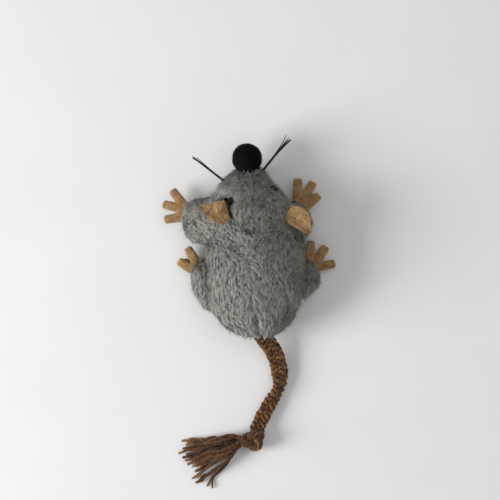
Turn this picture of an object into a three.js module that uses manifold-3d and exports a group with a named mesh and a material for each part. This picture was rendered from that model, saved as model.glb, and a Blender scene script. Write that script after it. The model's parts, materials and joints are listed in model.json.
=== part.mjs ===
// A stuffed toy mouse with suede ears and paws and a plaited rope tail that ends in a knot and a tassel.
// It lies on its belly at z = 0, with its nose towards +Y and its tail towards -Y.
// Lengths are in millimetres and angles in degrees.
import * as THREE from 'three';
import { mergeVertices } from 'three/addons/utils/BufferGeometryUtils.js';
import Module from 'manifold-3d';

const wasm = await Module();
wasm.setup();

// Cloth and clearances
const GAP = 0.3; // left between two pieces that touch
const PLUSH = 1.6; // plush cover with its flattened pile
const PAW_SUEDE = 1.6;
const EAR_SUEDE = 1.2;
const SWEEP_STEP = 10; // degrees between the places where a moving form is cut clear
const SMALL_SIDES = 8; // of beads, shanks and small knots
const SMALL_RINGS = 6;

// Torso: a drop-shaped rear behind the neck pivot and a domed chest before it
const TORSO_WIDTH = 43.6;
const TORSO_HEIGHT = 31;
const TORSO_REAR = 38.2; // from the neck pivot back to the rump
const TORSO_OUTLINE_POWER = 2.75; // how square the rump is from above
const TORSO_SIDE_POWER = 2.3; // how square it is from the side
const RUMP_DROP = 3.2; // how far the rump's middle lies under the chest's
const BELLY_FLAT = 0.5; // depth that the belly is pressed flat
const BELLY_SEAM_HEIGHT = 5.2; // the seam between the belly panel and the back
const NECK_AHEAD = 13; // the neck pivot, ahead of the belly's middle
const TORSO_SIDES = 22;
const TORSO_RINGS = 14;

// Head, seen along its own axis from the neck pivot
const HEAD_LENGTH = 39;
const HEAD_WIDTH = 37;
const HEAD_HEIGHT = 25;
const HEAD_TURN = 5.5; // the head is sewn on a little to the left
const HEAD_BACK = 1; // how far the head form starts behind the pivot
const SNOUT_CAP = 5; // length of the snout's round tip
const NAPE_CAP = 8; // length of the head's round rear
const HEAD_SIDES = 18;
const HEAD_RINGS = 14;
const NOD_MOST = 12;
// Each row: place along the head, half width, half height, and how far its middle lies up and to the right
const HEAD_SHARES = [
  [0.0, 0.86, 0.84, -0.06, 0.0],
  [0.2, 0.98, 0.96, -0.07, 0.0],
  [0.4, 1.0, 1.0, -0.08, -0.02],
  [0.54, 0.96, 0.97, -0.11, -0.05],
  [0.62, 0.86, 0.91, -0.15, -0.065],
  [0.72, 0.69, 0.82, -0.2, -0.085],
  [0.83, 0.525, 0.7, -0.28, -0.05],
  [0.94, 0.385, 0.57, -0.34, 0.0],
  [1.0, 0.355, 0.52, -0.36, 0.01],
];

// Nose, eyes and whiskers, placed in the head's frame
const NOSE_DIAMETER = 13.2;
const NOSE_PAST_TIP = 2.1; // how far its middle lies ahead of the snout's tip
const NOSE_UNDER_PIVOT = 1.5;
const EYE_DIAMETER = 3.4;
const EYE_SHOWN = 0.75; // height of the bead's middle over the plush
const EYE_SHANK_DIAMETER = 1.3;
const EYE_SHANK_LENGTH = 3.4;
// Across as a share of the head's half width, ahead as a share of its length
const EYES = [
  { name: 'eye_left', acrossShare: -0.53, aheadShare: 0.62 },
  { name: 'eye_right', acrossShare: 0.58, aheadShare: 0.68 },
];
const WHISKER_LENGTH = 19.4;
const WHISKER_DIAMETER = 0.5;
const WHISKER_SIDES = 4;
const WHISKER_KNOT_DIAMETER = 2;
const WHISKER_STRANDS = 5;
const WHISKER_SPLAY = 3; // degrees between neighbouring strands
const WHISKER_LIFT = 12; // degrees over the horizontal
const WHISKER_BEND = 2.2; // how far a whisker droops along its length
const WHISKER_STEPS = 4;
const WHISKERS = [
  { name: 'whiskers_left', side: -1, aheadShare: 0.8, lengthShare: 1, bearing: 137 },
  { name: 'whiskers_right', side: 1, aheadShare: 0.9, lengthShare: 0.86, bearing: 43 },
];

// Ears, placed in the head's frame; bearing is where the tip points, seen from above
const EAR_LENGTH = 13;
const EAR_WIDTH = 9.6;
const EAR_CUP = 1.5; // how far the long edges curl up
const EAR_ROOT_WIDTH = 6.8;
const EAR_ROOT_DIAMETER = 1.8;
const EAR_HEIGHT_OVER_PLUSH = 0.9; // the fold line over the head's surface
const EAR_SQUARENESS = 3; // power of the leaf's cross-section
const EAR_SIDES = 10;
const EAR_RINGS = 8;
// Across as a share of the head's half width, ahead as a share of its length
const EARS = [
  { name: 'ear_left', acrossShare: -0.61, aheadShare: 0.48, bearing: 166, pitch: 4 },
  { name: 'ear_right', acrossShare: 0.8, aheadShare: 0.37, bearing: -42, pitch: 7 },
];
// Each row: place along the ear, half width, lift, and how far its middle lies off the ear's line
const EAR_SHARES = [
  [0.0, 0.9, 0.0, -0.2],
  [0.25, 1.0, 0.01, -0.3],
  [0.5, 0.94, 0.02, -0.28],
  [0.75, 0.7, 0.02, -0.22],
  [1.0, 0.34, 0.0, -0.1],
];

// Limbs
const ARM_LENGTH = 17.4; // from the shoulder's pivot to the wrist end
const ARM_WIDTH = 19.8;
const ARM_HEIGHT = 15.4;
const ARM_BALL_DIAMETER = 15.6; // the sewn root that turns in the torso
const ARM_ROUND_END = 4.6;
const LEG_LENGTH = 18;
const LEG_WIDTH = 17;
const LEG_HEIGHT = 13.4;
const LEG_BALL_DIAMETER = 13;
const LEG_ROUND_END = 5.4;
const ROUND_BACK_SHARE = 0.3; // of a limb's length, behind its pivot
const LIMB_SIDES = 12;
const LIMB_RINGS = 8;
const LIMB_SIZES = {
  arm: { length: ARM_LENGTH, width: ARM_WIDTH, height: ARM_HEIGHT, ball: ARM_BALL_DIAMETER / 2, cap: ARM_ROUND_END },
  leg: { length: LEG_LENGTH, width: LEG_WIDTH, height: LEG_HEIGHT, ball: LEG_BALL_DIAMETER / 2, cap: LEG_ROUND_END },
};
// Each row: place along the limb, half width, half height, and how far its middle lies up and forward
const LIMB_SHARES = {
  arm: [
    [0.0, 0.82, 0.86, 0.0, 0.0],
    [0.3, 1.0, 1.0, 0.0, 0.0],
    [0.55, 1.0, 0.97, -0.06, 0.02],
    [0.78, 0.8, 0.82, -0.18, 0.1],
    [1.0, 0.6, 0.62, -0.34, 0.14],
  ],
  leg: [
    [0.0, 0.72, 0.9, 0.0, 0.0],
    [0.3, 0.95, 1.0, 0.0, 0.0],
    [0.5, 1.0, 0.99, -0.02, 0.0],
    [0.8, 0.85, 0.88, -0.08, 0.0],
    [1.0, 0.62, 0.74, -0.16, 0.0],
  ],
};
// Pivot as shares of the torso's half width, rear length and height; bearing is the way the limb points
// seen from above; swing is in degrees about a vertical axis, away from the head where turn says so
const LIMBS = [
  {
    name: 'arm_left', kind: 'arm', pivotShares: [-0.803, 0.639, 0.271], bearing: 165,
    lengthShare: 1, widthShare: 1, heightShare: 1, swing: [-12, 15], turn: 1,
  },
  {
    name: 'arm_right', kind: 'arm', pivotShares: [0.67, 0.508, 0.255], bearing: 72,
    lengthShare: 0.9, widthShare: 0.82, heightShare: 0.92, swing: [0, 25], turn: -1,
  },
  {
    name: 'leg_left', kind: 'leg', pivotShares: [-0.881, -0.215, 0.232], bearing: 101,
    lengthShare: 1, widthShare: 1, heightShare: 1, swing: [0, 30], turn: 1,
  },
  {
    name: 'leg_right', kind: 'leg', pivotShares: [0.853, -0.115, 0.226], bearing: 74,
    lengthShare: 0.66, widthShare: 1, heightShare: 0.97, swing: [0, 30], turn: -1,
  },
];

// Paws: one flat piece of suede each, with a palm, three fingers and a tab sewn into the limb
const FINGER_LENGTH = 11; // from the palm's middle
const FINGER_WIDTH = 3.4;
const PALM_WIDTH = 8;
const TAB_WIDTH = 6;
const TAB_LENGTH = 6.5;
const PAW_ARC_STEPS = 4;
// Palm's middle as shares of the limb's length, width and height; angles are off the limb's own way,
// and each finger has its angle and its share of the finger length
const PAWS = [
  {
    name: 'paw_front_left', limb: 'arm_left', palmShares: [0.97, 0.096, -0.247], tabAngle: 179,
    fingerShares: [[-51, 1.02], [-8, 0.86], [42, 0.86]],
  },
  {
    name: 'paw_front_right', limb: 'arm_right', palmShares: [1.03, 0.03, -0.28], tabAngle: 186,
    fingerShares: [[27, 1.03], [-9, 1.08], [-45, 0.9]],
  },
  {
    name: 'paw_rear_left', limb: 'leg_left', palmShares: [0.87, -0.321, -0.343], tabAngle: 195,
    fingerShares: [[7, 0.86], [62, 0.78]], foldedShares: [57, 0.64],
  },
  {
    name: 'paw_rear_right', limb: 'leg_right', palmShares: [1.11, 0.181, -0.343], tabAngle: 160,
    fingerShares: [[22, 1], [-24, 0.96], [-74, 0.96]],
  },
];

// Catnip pouch, in a pocket of the filling over the belly panel
const POUCH_WIDTH = 16;
const POUCH_LENGTH = 20;
const POUCH_HEIGHT = 6;

// Tail rope: it comes out of the rump over a knot that the cover holds
const ROPE_DIAMETER = 6.5;
const ROPE_SIDES = 8;
const ANCHOR_DIAMETER = 8.6;
const ANCHOR_ACROSS = 2.3;
const ANCHOR_UP = 8;
const ANCHOR_DEPTH = 1.4; // how far its middle lies inside the rump
// The route by hand, from where the rope leaves the anchor, along the floor to the end knot's middle
const ROPE_ROUTE = [
  [4.8, -27.4, 7.2], [6.6, -29.9, 6.1], [8.0, -32.2, 5.0], [9.1, -34.7, 4.1], [9.9, -37.7, 3.5],
  [10.5, -40.8, 3.3], [10.8, -43.9, 3.3], [10.6, -46.9, 3.3], [9.6, -49.6, 3.3], [8.1, -52.2, 3.3],
  [6.5, -54.8, 3.3], [5.0, -57.4, 3.3], [3.6, -60.0, 3.3], [2.3, -62.6, 3.4], [1.1, -65.3, 3.7],
  [-1.6, -71.1, 4.9],
];
const KNOT_DIAMETER = 11;
const KNOT_HEIGHT = 9.2;

// Tassel: loose cords that leave the knot as one bundle and splay out on the floor
const TASSEL_CORD_DIAMETER = 1.7;
const TASSEL_CORD_SIDES = 4;
const TASSEL_CORD_STEPS = 5;
const TASSEL_BUNDLE_DIAMETER = 5.6;
const TASSEL_BUNDLE_LENGTH = 4.2;
const TASSEL_BEARING = 193; // the bundle's way out of the knot
const TASSEL_BOW = 1.8; // how far a cord arches over the floor
const TASSEL_LENGTH = 32.8; // from the knot's middle
const TASSEL_FAN_SHARES = [0.6, 0.9]; // of a cord's turn off the bundle, where it leaves it and halfway
// Bearing from the knot's middle, share of the tassel's length and layer of each cord
const TASSEL_CORD_SHARES = [
  [181, 0.93, 1], [185, 0.84, 2], [188, 0.95, 0], [192, 1, 1], [195, 0.82, 2], [198, 0.96, 0],
  [202, 0.92, 1], [206, 0.87, 0], [213, 0.76, 2], [221, 0.93, 1], [226, 0.97, 0], [233, 0.85, 1],
];

const RADIANS = Math.PI / 180;
const HALF = 0.5;
const QUARTER_TURN = 90;

// Places worked out from the sizes above
const torsoMiddle = TORSO_HEIGHT * HALF - BELLY_FLAT;
const neck = new THREE.Vector3(0, NECK_AHEAD, torsoMiddle);
const headFrame = new THREE.Matrix4().makeRotationZ(HEAD_TURN * RADIANS).setPosition(neck);
const anchorAt = [ANCHOR_ACROSS, NECK_AHEAD - TORSO_REAR + ANCHOR_DEPTH, ANCHOR_UP];
const knotAt = ROPE_ROUTE.at(-1);

function frameOf(at, bearing) {
  return new THREE.Matrix4().makeRotationZ((bearing - QUARTER_TURN) * RADIANS).setPosition(...at);
}

// Solids: three.js geometry in, cut or joined, three.js geometry out
function solid(geometry) {
  const bare = geometry.index ? geometry.toNonIndexed() : geometry.clone();
  bare.deleteAttribute('normal');
  bare.deleteAttribute('uv');
  const merged = mergeVertices(bare);
  const vertProperties = new Float32Array(merged.attributes.position.array);
  const triVerts = new Uint32Array(merged.index.array);
  return new wasm.Manifold(new wasm.Mesh({ numProp: 3, vertProperties, triVerts }));
}

function geometryOf(body) {
  const mesh = body.getMesh();
  const geometry = new THREE.BufferGeometry();
  const places = new Float32Array(mesh.vertProperties.length / mesh.numProp * 3);
  for (let i = 0; i < places.length / 3; i += 1) {
    for (let k = 0; k < 3; k += 1) {
      places[3 * i + k] = mesh.vertProperties[mesh.numProp * i + k];
    }
  }
  geometry.setAttribute('position', new THREE.BufferAttribute(places, 3));
  geometry.setIndex(new THREE.BufferAttribute(new Uint32Array(mesh.triVerts), 1));
  geometry.computeVertexNormals();
  return geometry;
}

function joined(bodies) {
  return bodies.reduce((all, body) => all.add(body));
}

// The form as it lies at each step of a turn about Z through its own origin
function sweptTurns(geometry, from, to) {
  const count = Math.max(1, Math.ceil((to - from) / SWEEP_STEP));
  const turns = [];
  for (let i = 0; i <= count; i += 1) {
    turns.push(solid(geometry.clone().rotateZ((from + (to - from) * i / count) * RADIANS)));
  }
  return joined(turns);
}

function smoothRows(rows) {
  const size = rows[0].length - 1;
  const places = rows.map((row) => row[0]);
  return new THREE.CubicInterpolant(places, rows.flatMap((row) => row.slice(1)), size, new Float32Array(size));
}

// A stuffed form along +Y: a unit sphere whose rings are spread from one round end to the other.
// ringAt gives a ring's middle and half sizes for a place along the form.
function stuffed({ from, to, capFrom, capTo, sides, rings, power = 2, ringAt }) {
  const geometry = new THREE.SphereGeometry(1, sides, rings);
  const place = geometry.attributes.position;
  const capShare = 0.5; // of each half's rings that make its round end
  for (let i = 0; i < place.count; i += 1) {
    const across = place.getX(i);
    const upward = place.getZ(i);
    const slope = Math.asin(THREE.MathUtils.clamp(place.getY(i), -1, 1)) / (Math.PI / 2);
    const ahead = slope > 0;
    const cap = ahead ? capTo : capFrom;
    const inCap = Math.max(0, (Math.abs(slope) - capShare) / (1 - capShare));
    const along = Math.min(1, Math.abs(slope) / capShare);
    const middle = (from + capFrom + to - capTo) / 2;
    const edge = ahead ? to - capTo : from + capFrom;
    const sign = ahead ? 1 : -1;
    const y = middle + (edge - middle) * along + sign * cap * Math.sin(inCap * Math.PI / 2);
    const ring = ringAt(y);
    const shrink = Math.cos(inCap * Math.PI / 2);
    const reach = Math.hypot(across, upward);
    const square = reach > 0
      ? (Math.abs(across / reach) ** power + Math.abs(upward / reach) ** power) ** (-1 / power) / reach
      : 0;
    const bow = (ring.bow ?? 0) * (across * square) ** 2;
    place.setXYZ(
      i,
      ring.x + ring.halfWidth * shrink * across * square,
      y,
      ring.z + ring.halfHeight * shrink * upward * square + bow * shrink,
    );
  }
  return geometry;
}

// Torso: the chest is round about the neck pivot's X axis, so that the head can nod over it
function torsoForm(grow) {
  const geometry = new THREE.SphereGeometry(1, TORSO_SIDES, TORSO_RINGS);
  const place = geometry.attributes.position;
  const halfWidth = TORSO_WIDTH / 2 + grow;
  const radius = TORSO_HEIGHT / 2 + grow;
  for (let i = 0; i < place.count; i += 1) {
    const [x, y, z] = [place.getX(i), place.getY(i), place.getZ(i)];
    if (y >= 0) {
      place.setXYZ(i, halfWidth * x, neck.y + radius * y, neck.z + radius * z);
      continue;
    }
    const round = Math.sqrt(Math.max(0, 1 - y * y));
    const back = Math.abs(y) ** (2 / TORSO_OUTLINE_POWER);
    const wide = round > 0 ? (1 - back ** TORSO_OUTLINE_POWER) ** (1 / TORSO_OUTLINE_POWER) / round : 0;
    const tall = round > 0 ? (1 - back ** TORSO_SIDE_POWER) ** (1 / TORSO_SIDE_POWER) / round : 0;
    place.setXYZ(
      i,
      halfWidth * x * wide,
      neck.y - (TORSO_REAR + grow) * back,
      neck.z - RUMP_DROP * back * back + radius * z * tall,
    );
  }
  return geometry;
}

function headRing(y, grow) {
  const rows = smoothRows(HEAD_SHARES);
  const share = THREE.MathUtils.clamp(y / HEAD_LENGTH, 0, 1);
  const [wide, tall, lift, shift] = rows.evaluate(share);
  return {
    x: shift * HEAD_WIDTH / 2,
    z: lift * HEAD_HEIGHT / 2,
    halfWidth: wide * HEAD_WIDTH / 2 + grow,
    halfHeight: tall * HEAD_HEIGHT / 2 + grow,
  };
}

function headForm(grow) {
  return stuffed({
    from: -HEAD_BACK - grow,
    to: HEAD_LENGTH + grow,
    capFrom: NAPE_CAP,
    capTo: SNOUT_CAP + grow,
    sides: HEAD_SIDES,
    rings: HEAD_RINGS,
    ringAt: (y) => headRing(y, grow),
  });
}

// Height of the head's surface over its pivot, at a place seen from above
function headTop(x, y) {
  const ring = headRing(y, 0);
  return ring.z + ring.halfHeight * Math.sqrt(Math.max(0, 1 - ((x - ring.x) / ring.halfWidth) ** 2));
}

function limbSize(limb) {
  const size = LIMB_SIZES[limb.kind];
  return {
    length: size.length * limb.lengthShare,
    width: size.width * limb.widthShare,
    height: size.height * limb.heightShare,
    ball: size.ball * limb.heightShare,
    cap: size.cap * limb.heightShare,
  };
}

function limbForm(limb, grow) {
  const rows = smoothRows(LIMB_SHARES[limb.kind]);
  const size = limbSize(limb);
  const back = size.length * ROUND_BACK_SHARE;
  return stuffed({
    from: -back - grow,
    to: size.length + grow,
    capFrom: back + grow,
    capTo: size.cap + grow,
    sides: LIMB_SIDES,
    rings: LIMB_RINGS,
    ringAt: (y) => {
      const [wide, tall, lift, forward] = rows.evaluate(THREE.MathUtils.clamp(y / size.length, 0, 1));
      return {
        x: forward * limb.turn * size.width / 2,
        z: lift * size.height / 2,
        halfWidth: wide * size.width / 2 + grow,
        halfHeight: tall * size.height / 2 + grow,
      };
    },
  });
}

function limbBall(limb, grow) {
  return new THREE.SphereGeometry(limbSize(limb).ball + grow, LIMB_SIDES, LIMB_RINGS);
}

function limbFrame(limb) {
  const [across, ahead, up] = limb.pivotShares;
  return frameOf([across * TORSO_WIDTH / 2, ahead * TORSO_REAR, up * TORSO_HEIGHT], limb.bearing);
}

// Limb: its form without what the torso and head take of it over its swing, and a ball at the pivot
function limbSolid(limb, grow) {
  const toLimb = limbFrame(limb).invert();
  const clear = GAP - Math.min(0, grow);
  const swing = limb.swing.map((angle) => -angle * limb.turn).sort((a, b) => a - b);
  const torso = torsoForm(clear).applyMatrix4(toLimb);
  const head = headForm(clear).applyMatrix4(headFrame).applyMatrix4(toLimb);
  const taken = sweptTurns(torso, ...swing).add(sweptTurns(head, ...swing));
  return solid(limbForm(limb, grow)).subtract(taken).add(solid(limbBall(limb, grow)));
}

// Paw, about its palm's middle, with the limb's way along +Y
function pawPlate(across, length, grow, thickness) {
  const shape = new THREE.Shape();
  const half = across / 2 + grow;
  shape.absarc(0, length - across / 2, half, 0, Math.PI, false);
  shape.absarc(0, 0, half, Math.PI, 2 * Math.PI, false);
  const height = thickness + 2 * grow;
  return new THREE.ExtrudeGeometry(shape, { depth: height, bevelEnabled: false, curveSegments: PAW_ARC_STEPS })
    .translate(0, 0, -grow);
}

function turned(geometry, angle) {
  return geometry.rotateZ(angle * RADIANS);
}

function pawSolid(paw, grow) {
  const parts = paw.fingerShares.map(([angle, share]) => (
    turned(pawPlate(FINGER_WIDTH, share * FINGER_LENGTH, grow, PAW_SUEDE), angle)
  ));
  parts.push(pawPlate(PALM_WIDTH, PALM_WIDTH / 2, grow, PAW_SUEDE));
  parts.push(turned(pawPlate(TAB_WIDTH, TAB_LENGTH, grow, PAW_SUEDE), paw.tabAngle));
  if (paw.foldedShares) {
    const [angle, share] = paw.foldedShares;
    const under = pawPlate(FINGER_WIDTH, share * FINGER_LENGTH, grow, PAW_SUEDE).translate(0, 0, -PAW_SUEDE);
    parts.push(turned(under, angle));
  }
  return joined(parts.map(solid));
}

function inFrame(geometry, frame) {
  return geometry.applyMatrix4(frame);
}

// The palm's middle in the limb's frame
function pawFrame(paw, limb) {
  const size = limbSize(limb);
  const [along, across, up] = paw.palmShares;
  return new THREE.Matrix4().makeTranslation(across * size.width, along * size.length, up * size.height);
}

// A solid is moved as geometry, because the solids here only join and cut
function movedSolid(body, frame) {
  return solid(inFrame(geometryOf(body), frame));
}

// Colours of the toy
function cloth(colour, roughness) {
  return new THREE.MeshStandardMaterial({ color: colour, roughness, metalness: 0 });
}
const greyPlush = cloth(0x6f6e68, 0.95);
const whiteFibre = cloth(0xe6e4de, 0.95);
const tanSuede = cloth(0x9b7c56, 0.9);
const blackVelvet = cloth(0x151316, 0.9);
const blackBead = cloth(0x0a0a0b, 0.15);
const blackThread = cloth(0x121214, 0.35);
const brownCord = cloth(0x5b3e28, 0.85);
const driedHerb = cloth(0x6d7a48, 0.95);

const toy = new THREE.Group();

function piece(name, body, material, parent = toy) {
  const mesh = new THREE.Mesh(geometryOf(body), material);
  mesh.name = name;
  parent.add(mesh);
  return mesh;
}

// A slab from z = low to z = high, wide enough for the whole toy with its tassel
function slab(low, high) {
  const wide = 2 * (Math.hypot(...knotAt) + TASSEL_LENGTH + HEAD_LENGTH);
  return solid(new THREE.BoxGeometry(wide, wide, high - low).translate(0, 0, (low + high) / 2));
}

// What is cut out of the torso for the limbs and the tail
function torsoHollows(grow) {
  const balls = LIMBS.map((limb) => solid(inFrame(limbBall(limb, grow), limbFrame(limb))));
  balls.push(solid(anchorBall(grow)));
  return joined(balls);
}

function anchorBall(grow) {
  return new THREE.SphereGeometry(ANCHOR_DIAMETER / 2 + grow, LIMB_SIDES, LIMB_RINGS).translate(...anchorAt);
}

function pouchForm(grow) {
  return new THREE.SphereGeometry(1, LIMB_SIDES, LIMB_RINGS)
    .scale(POUCH_WIDTH / 2 + grow, POUCH_LENGTH / 2 + grow, POUCH_HEIGHT / 2 + grow)
    .translate(0, 0, PLUSH + GAP + POUCH_HEIGHT / 2);
}

function addTorso() {
  const above = slab(0, 2 * TORSO_HEIGHT);
  const pressed = slab(PLUSH, 2 * TORSO_HEIGHT);
  const wall = solid(torsoForm(0)).intersect(above)
    .subtract(solid(torsoForm(-PLUSH)).intersect(pressed))
    .subtract(torsoHollows(GAP));
  const seam = BELLY_SEAM_HEIGHT;
  piece('torso_back_cover', wall.intersect(slab(seam + GAP / 2, 2 * TORSO_HEIGHT)), greyPlush);
  piece('torso_belly_panel', wall.intersect(slab(0, seam - GAP / 2)), greyPlush);
  const inner = PLUSH + GAP;
  const pocket = joined([solid(pouchForm(GAP)), solid(pouchForm(GAP).translate(0, 0, -POUCH_HEIGHT / 2))]);
  const filling = solid(torsoForm(-inner)).intersect(slab(inner, 2 * TORSO_HEIGHT))
    .subtract(torsoHollows(GAP))
    .subtract(pocket);
  piece('torso_filling', filling, whiteFibre);
  piece('catnip_pouch', solid(pouchForm(0)), driedHerb);
}

// Head and what is sewn to it
const headGroup = new THREE.Group();
headGroup.applyMatrix4(headFrame);
toy.add(headGroup);

function noseForm(grow) {
  return new THREE.SphereGeometry(NOSE_DIAMETER / 2 + grow, LIMB_SIDES, LIMB_RINGS)
    .translate(0, HEAD_LENGTH + NOSE_PAST_TIP, -NOSE_UNDER_PIVOT);
}

function eyeForm(eye, grow) {
  const x = eye.acrossShare * HEAD_WIDTH / 2;
  const y = eye.aheadShare * HEAD_LENGTH;
  const z = headTop(x, y);
  const ring = headRing(y, 0);
  const out = new THREE.Vector3((x - ring.x) / ring.halfWidth ** 2, 0, (z - ring.z) / ring.halfHeight ** 2);
  const turn = new THREE.Quaternion().setFromUnitVectors(new THREE.Vector3(0, 1, 0), out.normalize());
  const bead = new THREE.SphereGeometry(EYE_DIAMETER / 2 + grow, SMALL_SIDES, SMALL_RINGS);
  const shank = new THREE.CylinderGeometry(
    EYE_SHANK_DIAMETER / 2 + grow,
    EYE_SHANK_DIAMETER / 2 + grow,
    EYE_SHANK_LENGTH + grow,
    SMALL_SIDES,
  ).translate(0, -(EYE_SHANK_LENGTH + grow) / 2, 0);
  const set = (geometry) => geometry.translate(0, EYE_SHOWN, 0).applyQuaternion(turn).translate(x, y, z);
  return solid(set(bead)).add(solid(set(shank)));
}

// Where a whisker tuft leaves the snout, in the head's frame
function whiskerRoot(tuft) {
  const ring = headRing(tuft.aheadShare * HEAD_LENGTH, 0);
  return new THREE.Vector3(ring.x + tuft.side * ring.halfWidth, tuft.aheadShare * HEAD_LENGTH, ring.z);
}

function whiskerKnot(tuft, grow) {
  const root = whiskerRoot(tuft);
  return new THREE.SphereGeometry(WHISKER_KNOT_DIAMETER / 2 + grow, SMALL_SIDES, SMALL_RINGS)
    .translate(root.x, root.y, root.z);
}

function strand(points, diameter, sides, steps) {
  const shape = new THREE.Shape();
  for (let i = 0; i < sides; i += 1) {
    const angle = 2 * Math.PI * i / sides;
    shape[i ? 'lineTo' : 'moveTo'](diameter / 2 * Math.cos(angle), diameter / 2 * Math.sin(angle));
  }
  const path = new THREE.CatmullRomCurve3(points, false, 'centripetal');
  return new THREE.ExtrudeGeometry(shape, { steps, extrudePath: path, bevelEnabled: false });
}

function addWhiskers(tuft) {
  const root = whiskerRoot(tuft);
  const length = tuft.lengthShare * WHISKER_LENGTH;
  const parts = [solid(whiskerKnot(tuft, 0))];
  for (let i = 0; i < WHISKER_STRANDS; i += 1) {
    const off = i - (WHISKER_STRANDS - 1) / 2;
    const bearing = (tuft.bearing + off * WHISKER_SPLAY) * RADIANS;
    const rise = (WHISKER_LIFT + Math.abs(off) * WHISKER_SPLAY) * RADIANS;
    const way = new THREE.Vector3(
      Math.cos(bearing) * Math.cos(rise),
      Math.sin(bearing) * Math.cos(rise),
      Math.sin(rise),
    );
    const middle = root.clone().addScaledVector(way, length / 2);
    const tip = root.clone().addScaledVector(way, length);
    tip.z -= WHISKER_BEND;
    parts.push(solid(strand([root, middle, tip], WHISKER_DIAMETER, WHISKER_SIDES, WHISKER_STEPS)));
  }
  piece(tuft.name, joined(parts), blackThread, headGroup);
}

// Ear: a cupped leaf that folds about a rounded root edge lying in a shallow groove
function earFrame(ear) {
  const across = ear.acrossShare * HEAD_WIDTH / 2;
  const ahead = ear.aheadShare * HEAD_LENGTH;
  const up = headTop(across, ahead) + EAR_HEIGHT_OVER_PLUSH;
  const pitch = new THREE.Matrix4().makeRotationX(ear.pitch * RADIANS);
  return frameOf([across, ahead, up], ear.bearing).multiply(pitch);
}

function earRoot(grow) {
  const length = EAR_ROOT_WIDTH + 2 * grow;
  const radius = EAR_ROOT_DIAMETER / 2 + grow;
  return new THREE.CylinderGeometry(radius, radius, length, EAR_SIDES).rotateZ(Math.PI / 2);
}

function earLeaf() {
  const rows = smoothRows(EAR_SHARES);
  return stuffed({
    from: 0,
    to: EAR_LENGTH,
    capFrom: EAR_ROOT_DIAMETER / 2,
    capTo: EAR_LENGTH / 4,
    sides: EAR_SIDES,
    rings: EAR_RINGS,
    power: EAR_SQUARENESS,
    ringAt: (y) => {
      const [wide, lift, shift] = rows.evaluate(THREE.MathUtils.clamp(y / EAR_LENGTH, 0, 1));
      return {
        x: shift * EAR_WIDTH / 2,
        z: lift * EAR_LENGTH,
        halfWidth: wide * EAR_WIDTH / 2,
        halfHeight: EAR_SUEDE / 2,
        bow: EAR_CUP * wide,
      };
    },
  });
}

function addEar(ear) {
  const body = solid(earLeaf()).add(solid(earRoot(0)));
  piece(ear.name, body, tanSuede, headGroup).applyMatrix4(earFrame(ear));
}

function addHead() {
  const toHead = headFrame.clone().invert();
  const chest = solid(torsoForm(GAP).applyMatrix4(toHead));
  const sewnOn = [solid(noseForm(GAP)), ...EYES.map((eye) => eyeForm(eye, GAP))];
  sewnOn.push(...WHISKERS.map((tuft) => solid(whiskerKnot(tuft, GAP))));
  sewnOn.push(...EARS.map((ear) => solid(inFrame(earRoot(GAP), earFrame(ear)))));
  const shoulders = LIMBS.filter((limb) => limb.kind === 'arm').map((limb) => noddedBall(limb, toHead));
  const taken = joined([chest, ...sewnOn, ...shoulders]);
  piece('head_cover', solid(headForm(0)).subtract(solid(headForm(-PLUSH))).subtract(taken), greyPlush, headGroup);
  piece('head_filling', solid(headForm(-PLUSH - GAP)).subtract(taken), whiteFibre, headGroup);
  piece('nose', solid(noseForm(0)), blackVelvet, headGroup);
  EYES.forEach((eye) => piece(eye.name, eyeForm(eye, 0), blackBead, headGroup));
  WHISKERS.forEach(addWhiskers);
  EARS.forEach(addEar);
}

// A shoulder ball as the head sees it while it nods up
function noddedBall(limb, toHead) {
  const count = Math.ceil(NOD_MOST / SWEEP_STEP);
  const balls = [];
  for (let i = 0; i <= count; i += 1) {
    const nod = new THREE.Matrix4().makeTranslation(neck.x, neck.y, neck.z)
      .multiply(new THREE.Matrix4().makeRotationX(-NOD_MOST * i / count * RADIANS))
      .multiply(new THREE.Matrix4().makeTranslation(-neck.x, -neck.y, -neck.z));
    balls.push(solid(inFrame(limbBall(limb, GAP), limbFrame(limb)).applyMatrix4(nod).applyMatrix4(toHead)));
  }
  return joined(balls);
}

function addLimb(limb) {
  const paw = PAWS.find((one) => one.limb === limb.name);
  const group = new THREE.Group();
  group.applyMatrix4(limbFrame(limb));
  toy.add(group);
  const slot = movedSolid(pawSolid(paw, GAP), pawFrame(paw, limb));
  const cover = limbSolid(limb, 0).subtract(limbSolid(limb, -PLUSH)).subtract(slot);
  piece(`${limb.name}_cover`, cover, greyPlush, group);
  piece(`${limb.name}_filling`, limbSolid(limb, -PLUSH - GAP).subtract(slot), whiteFibre, group);
  piece(paw.name, pawSolid(paw, 0), tanSuede, group).applyMatrix4(pawFrame(paw, limb));
}

// Tail: anchor knot in the rump, rope, end knot and tassel
function knotForm(grow) {
  return new THREE.SphereGeometry(1, LIMB_SIDES, LIMB_RINGS)
    .scale(KNOT_DIAMETER / 2 + grow, KNOT_DIAMETER / 2 + grow, KNOT_HEIGHT / 2 + grow)
    .translate(...knotAt);
}

function addTail() {
  piece('tail_anchor', solid(anchorBall(0)), brownCord);
  const points = [anchorAt, ...ROPE_ROUTE].map((point) => new THREE.Vector3(...point));
  const steps = Math.round(new THREE.CatmullRomCurve3(points).getLength() / (ROPE_DIAMETER / 2));
  const rope = solid(strand(points, ROPE_DIAMETER, ROPE_SIDES, steps))
    .subtract(solid(anchorBall(GAP)))
    .subtract(solid(knotForm(GAP)));
  piece('tail_rope', rope, brownCord);
  piece('tail_knot', solid(knotForm(0)), brownCord);
}

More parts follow.
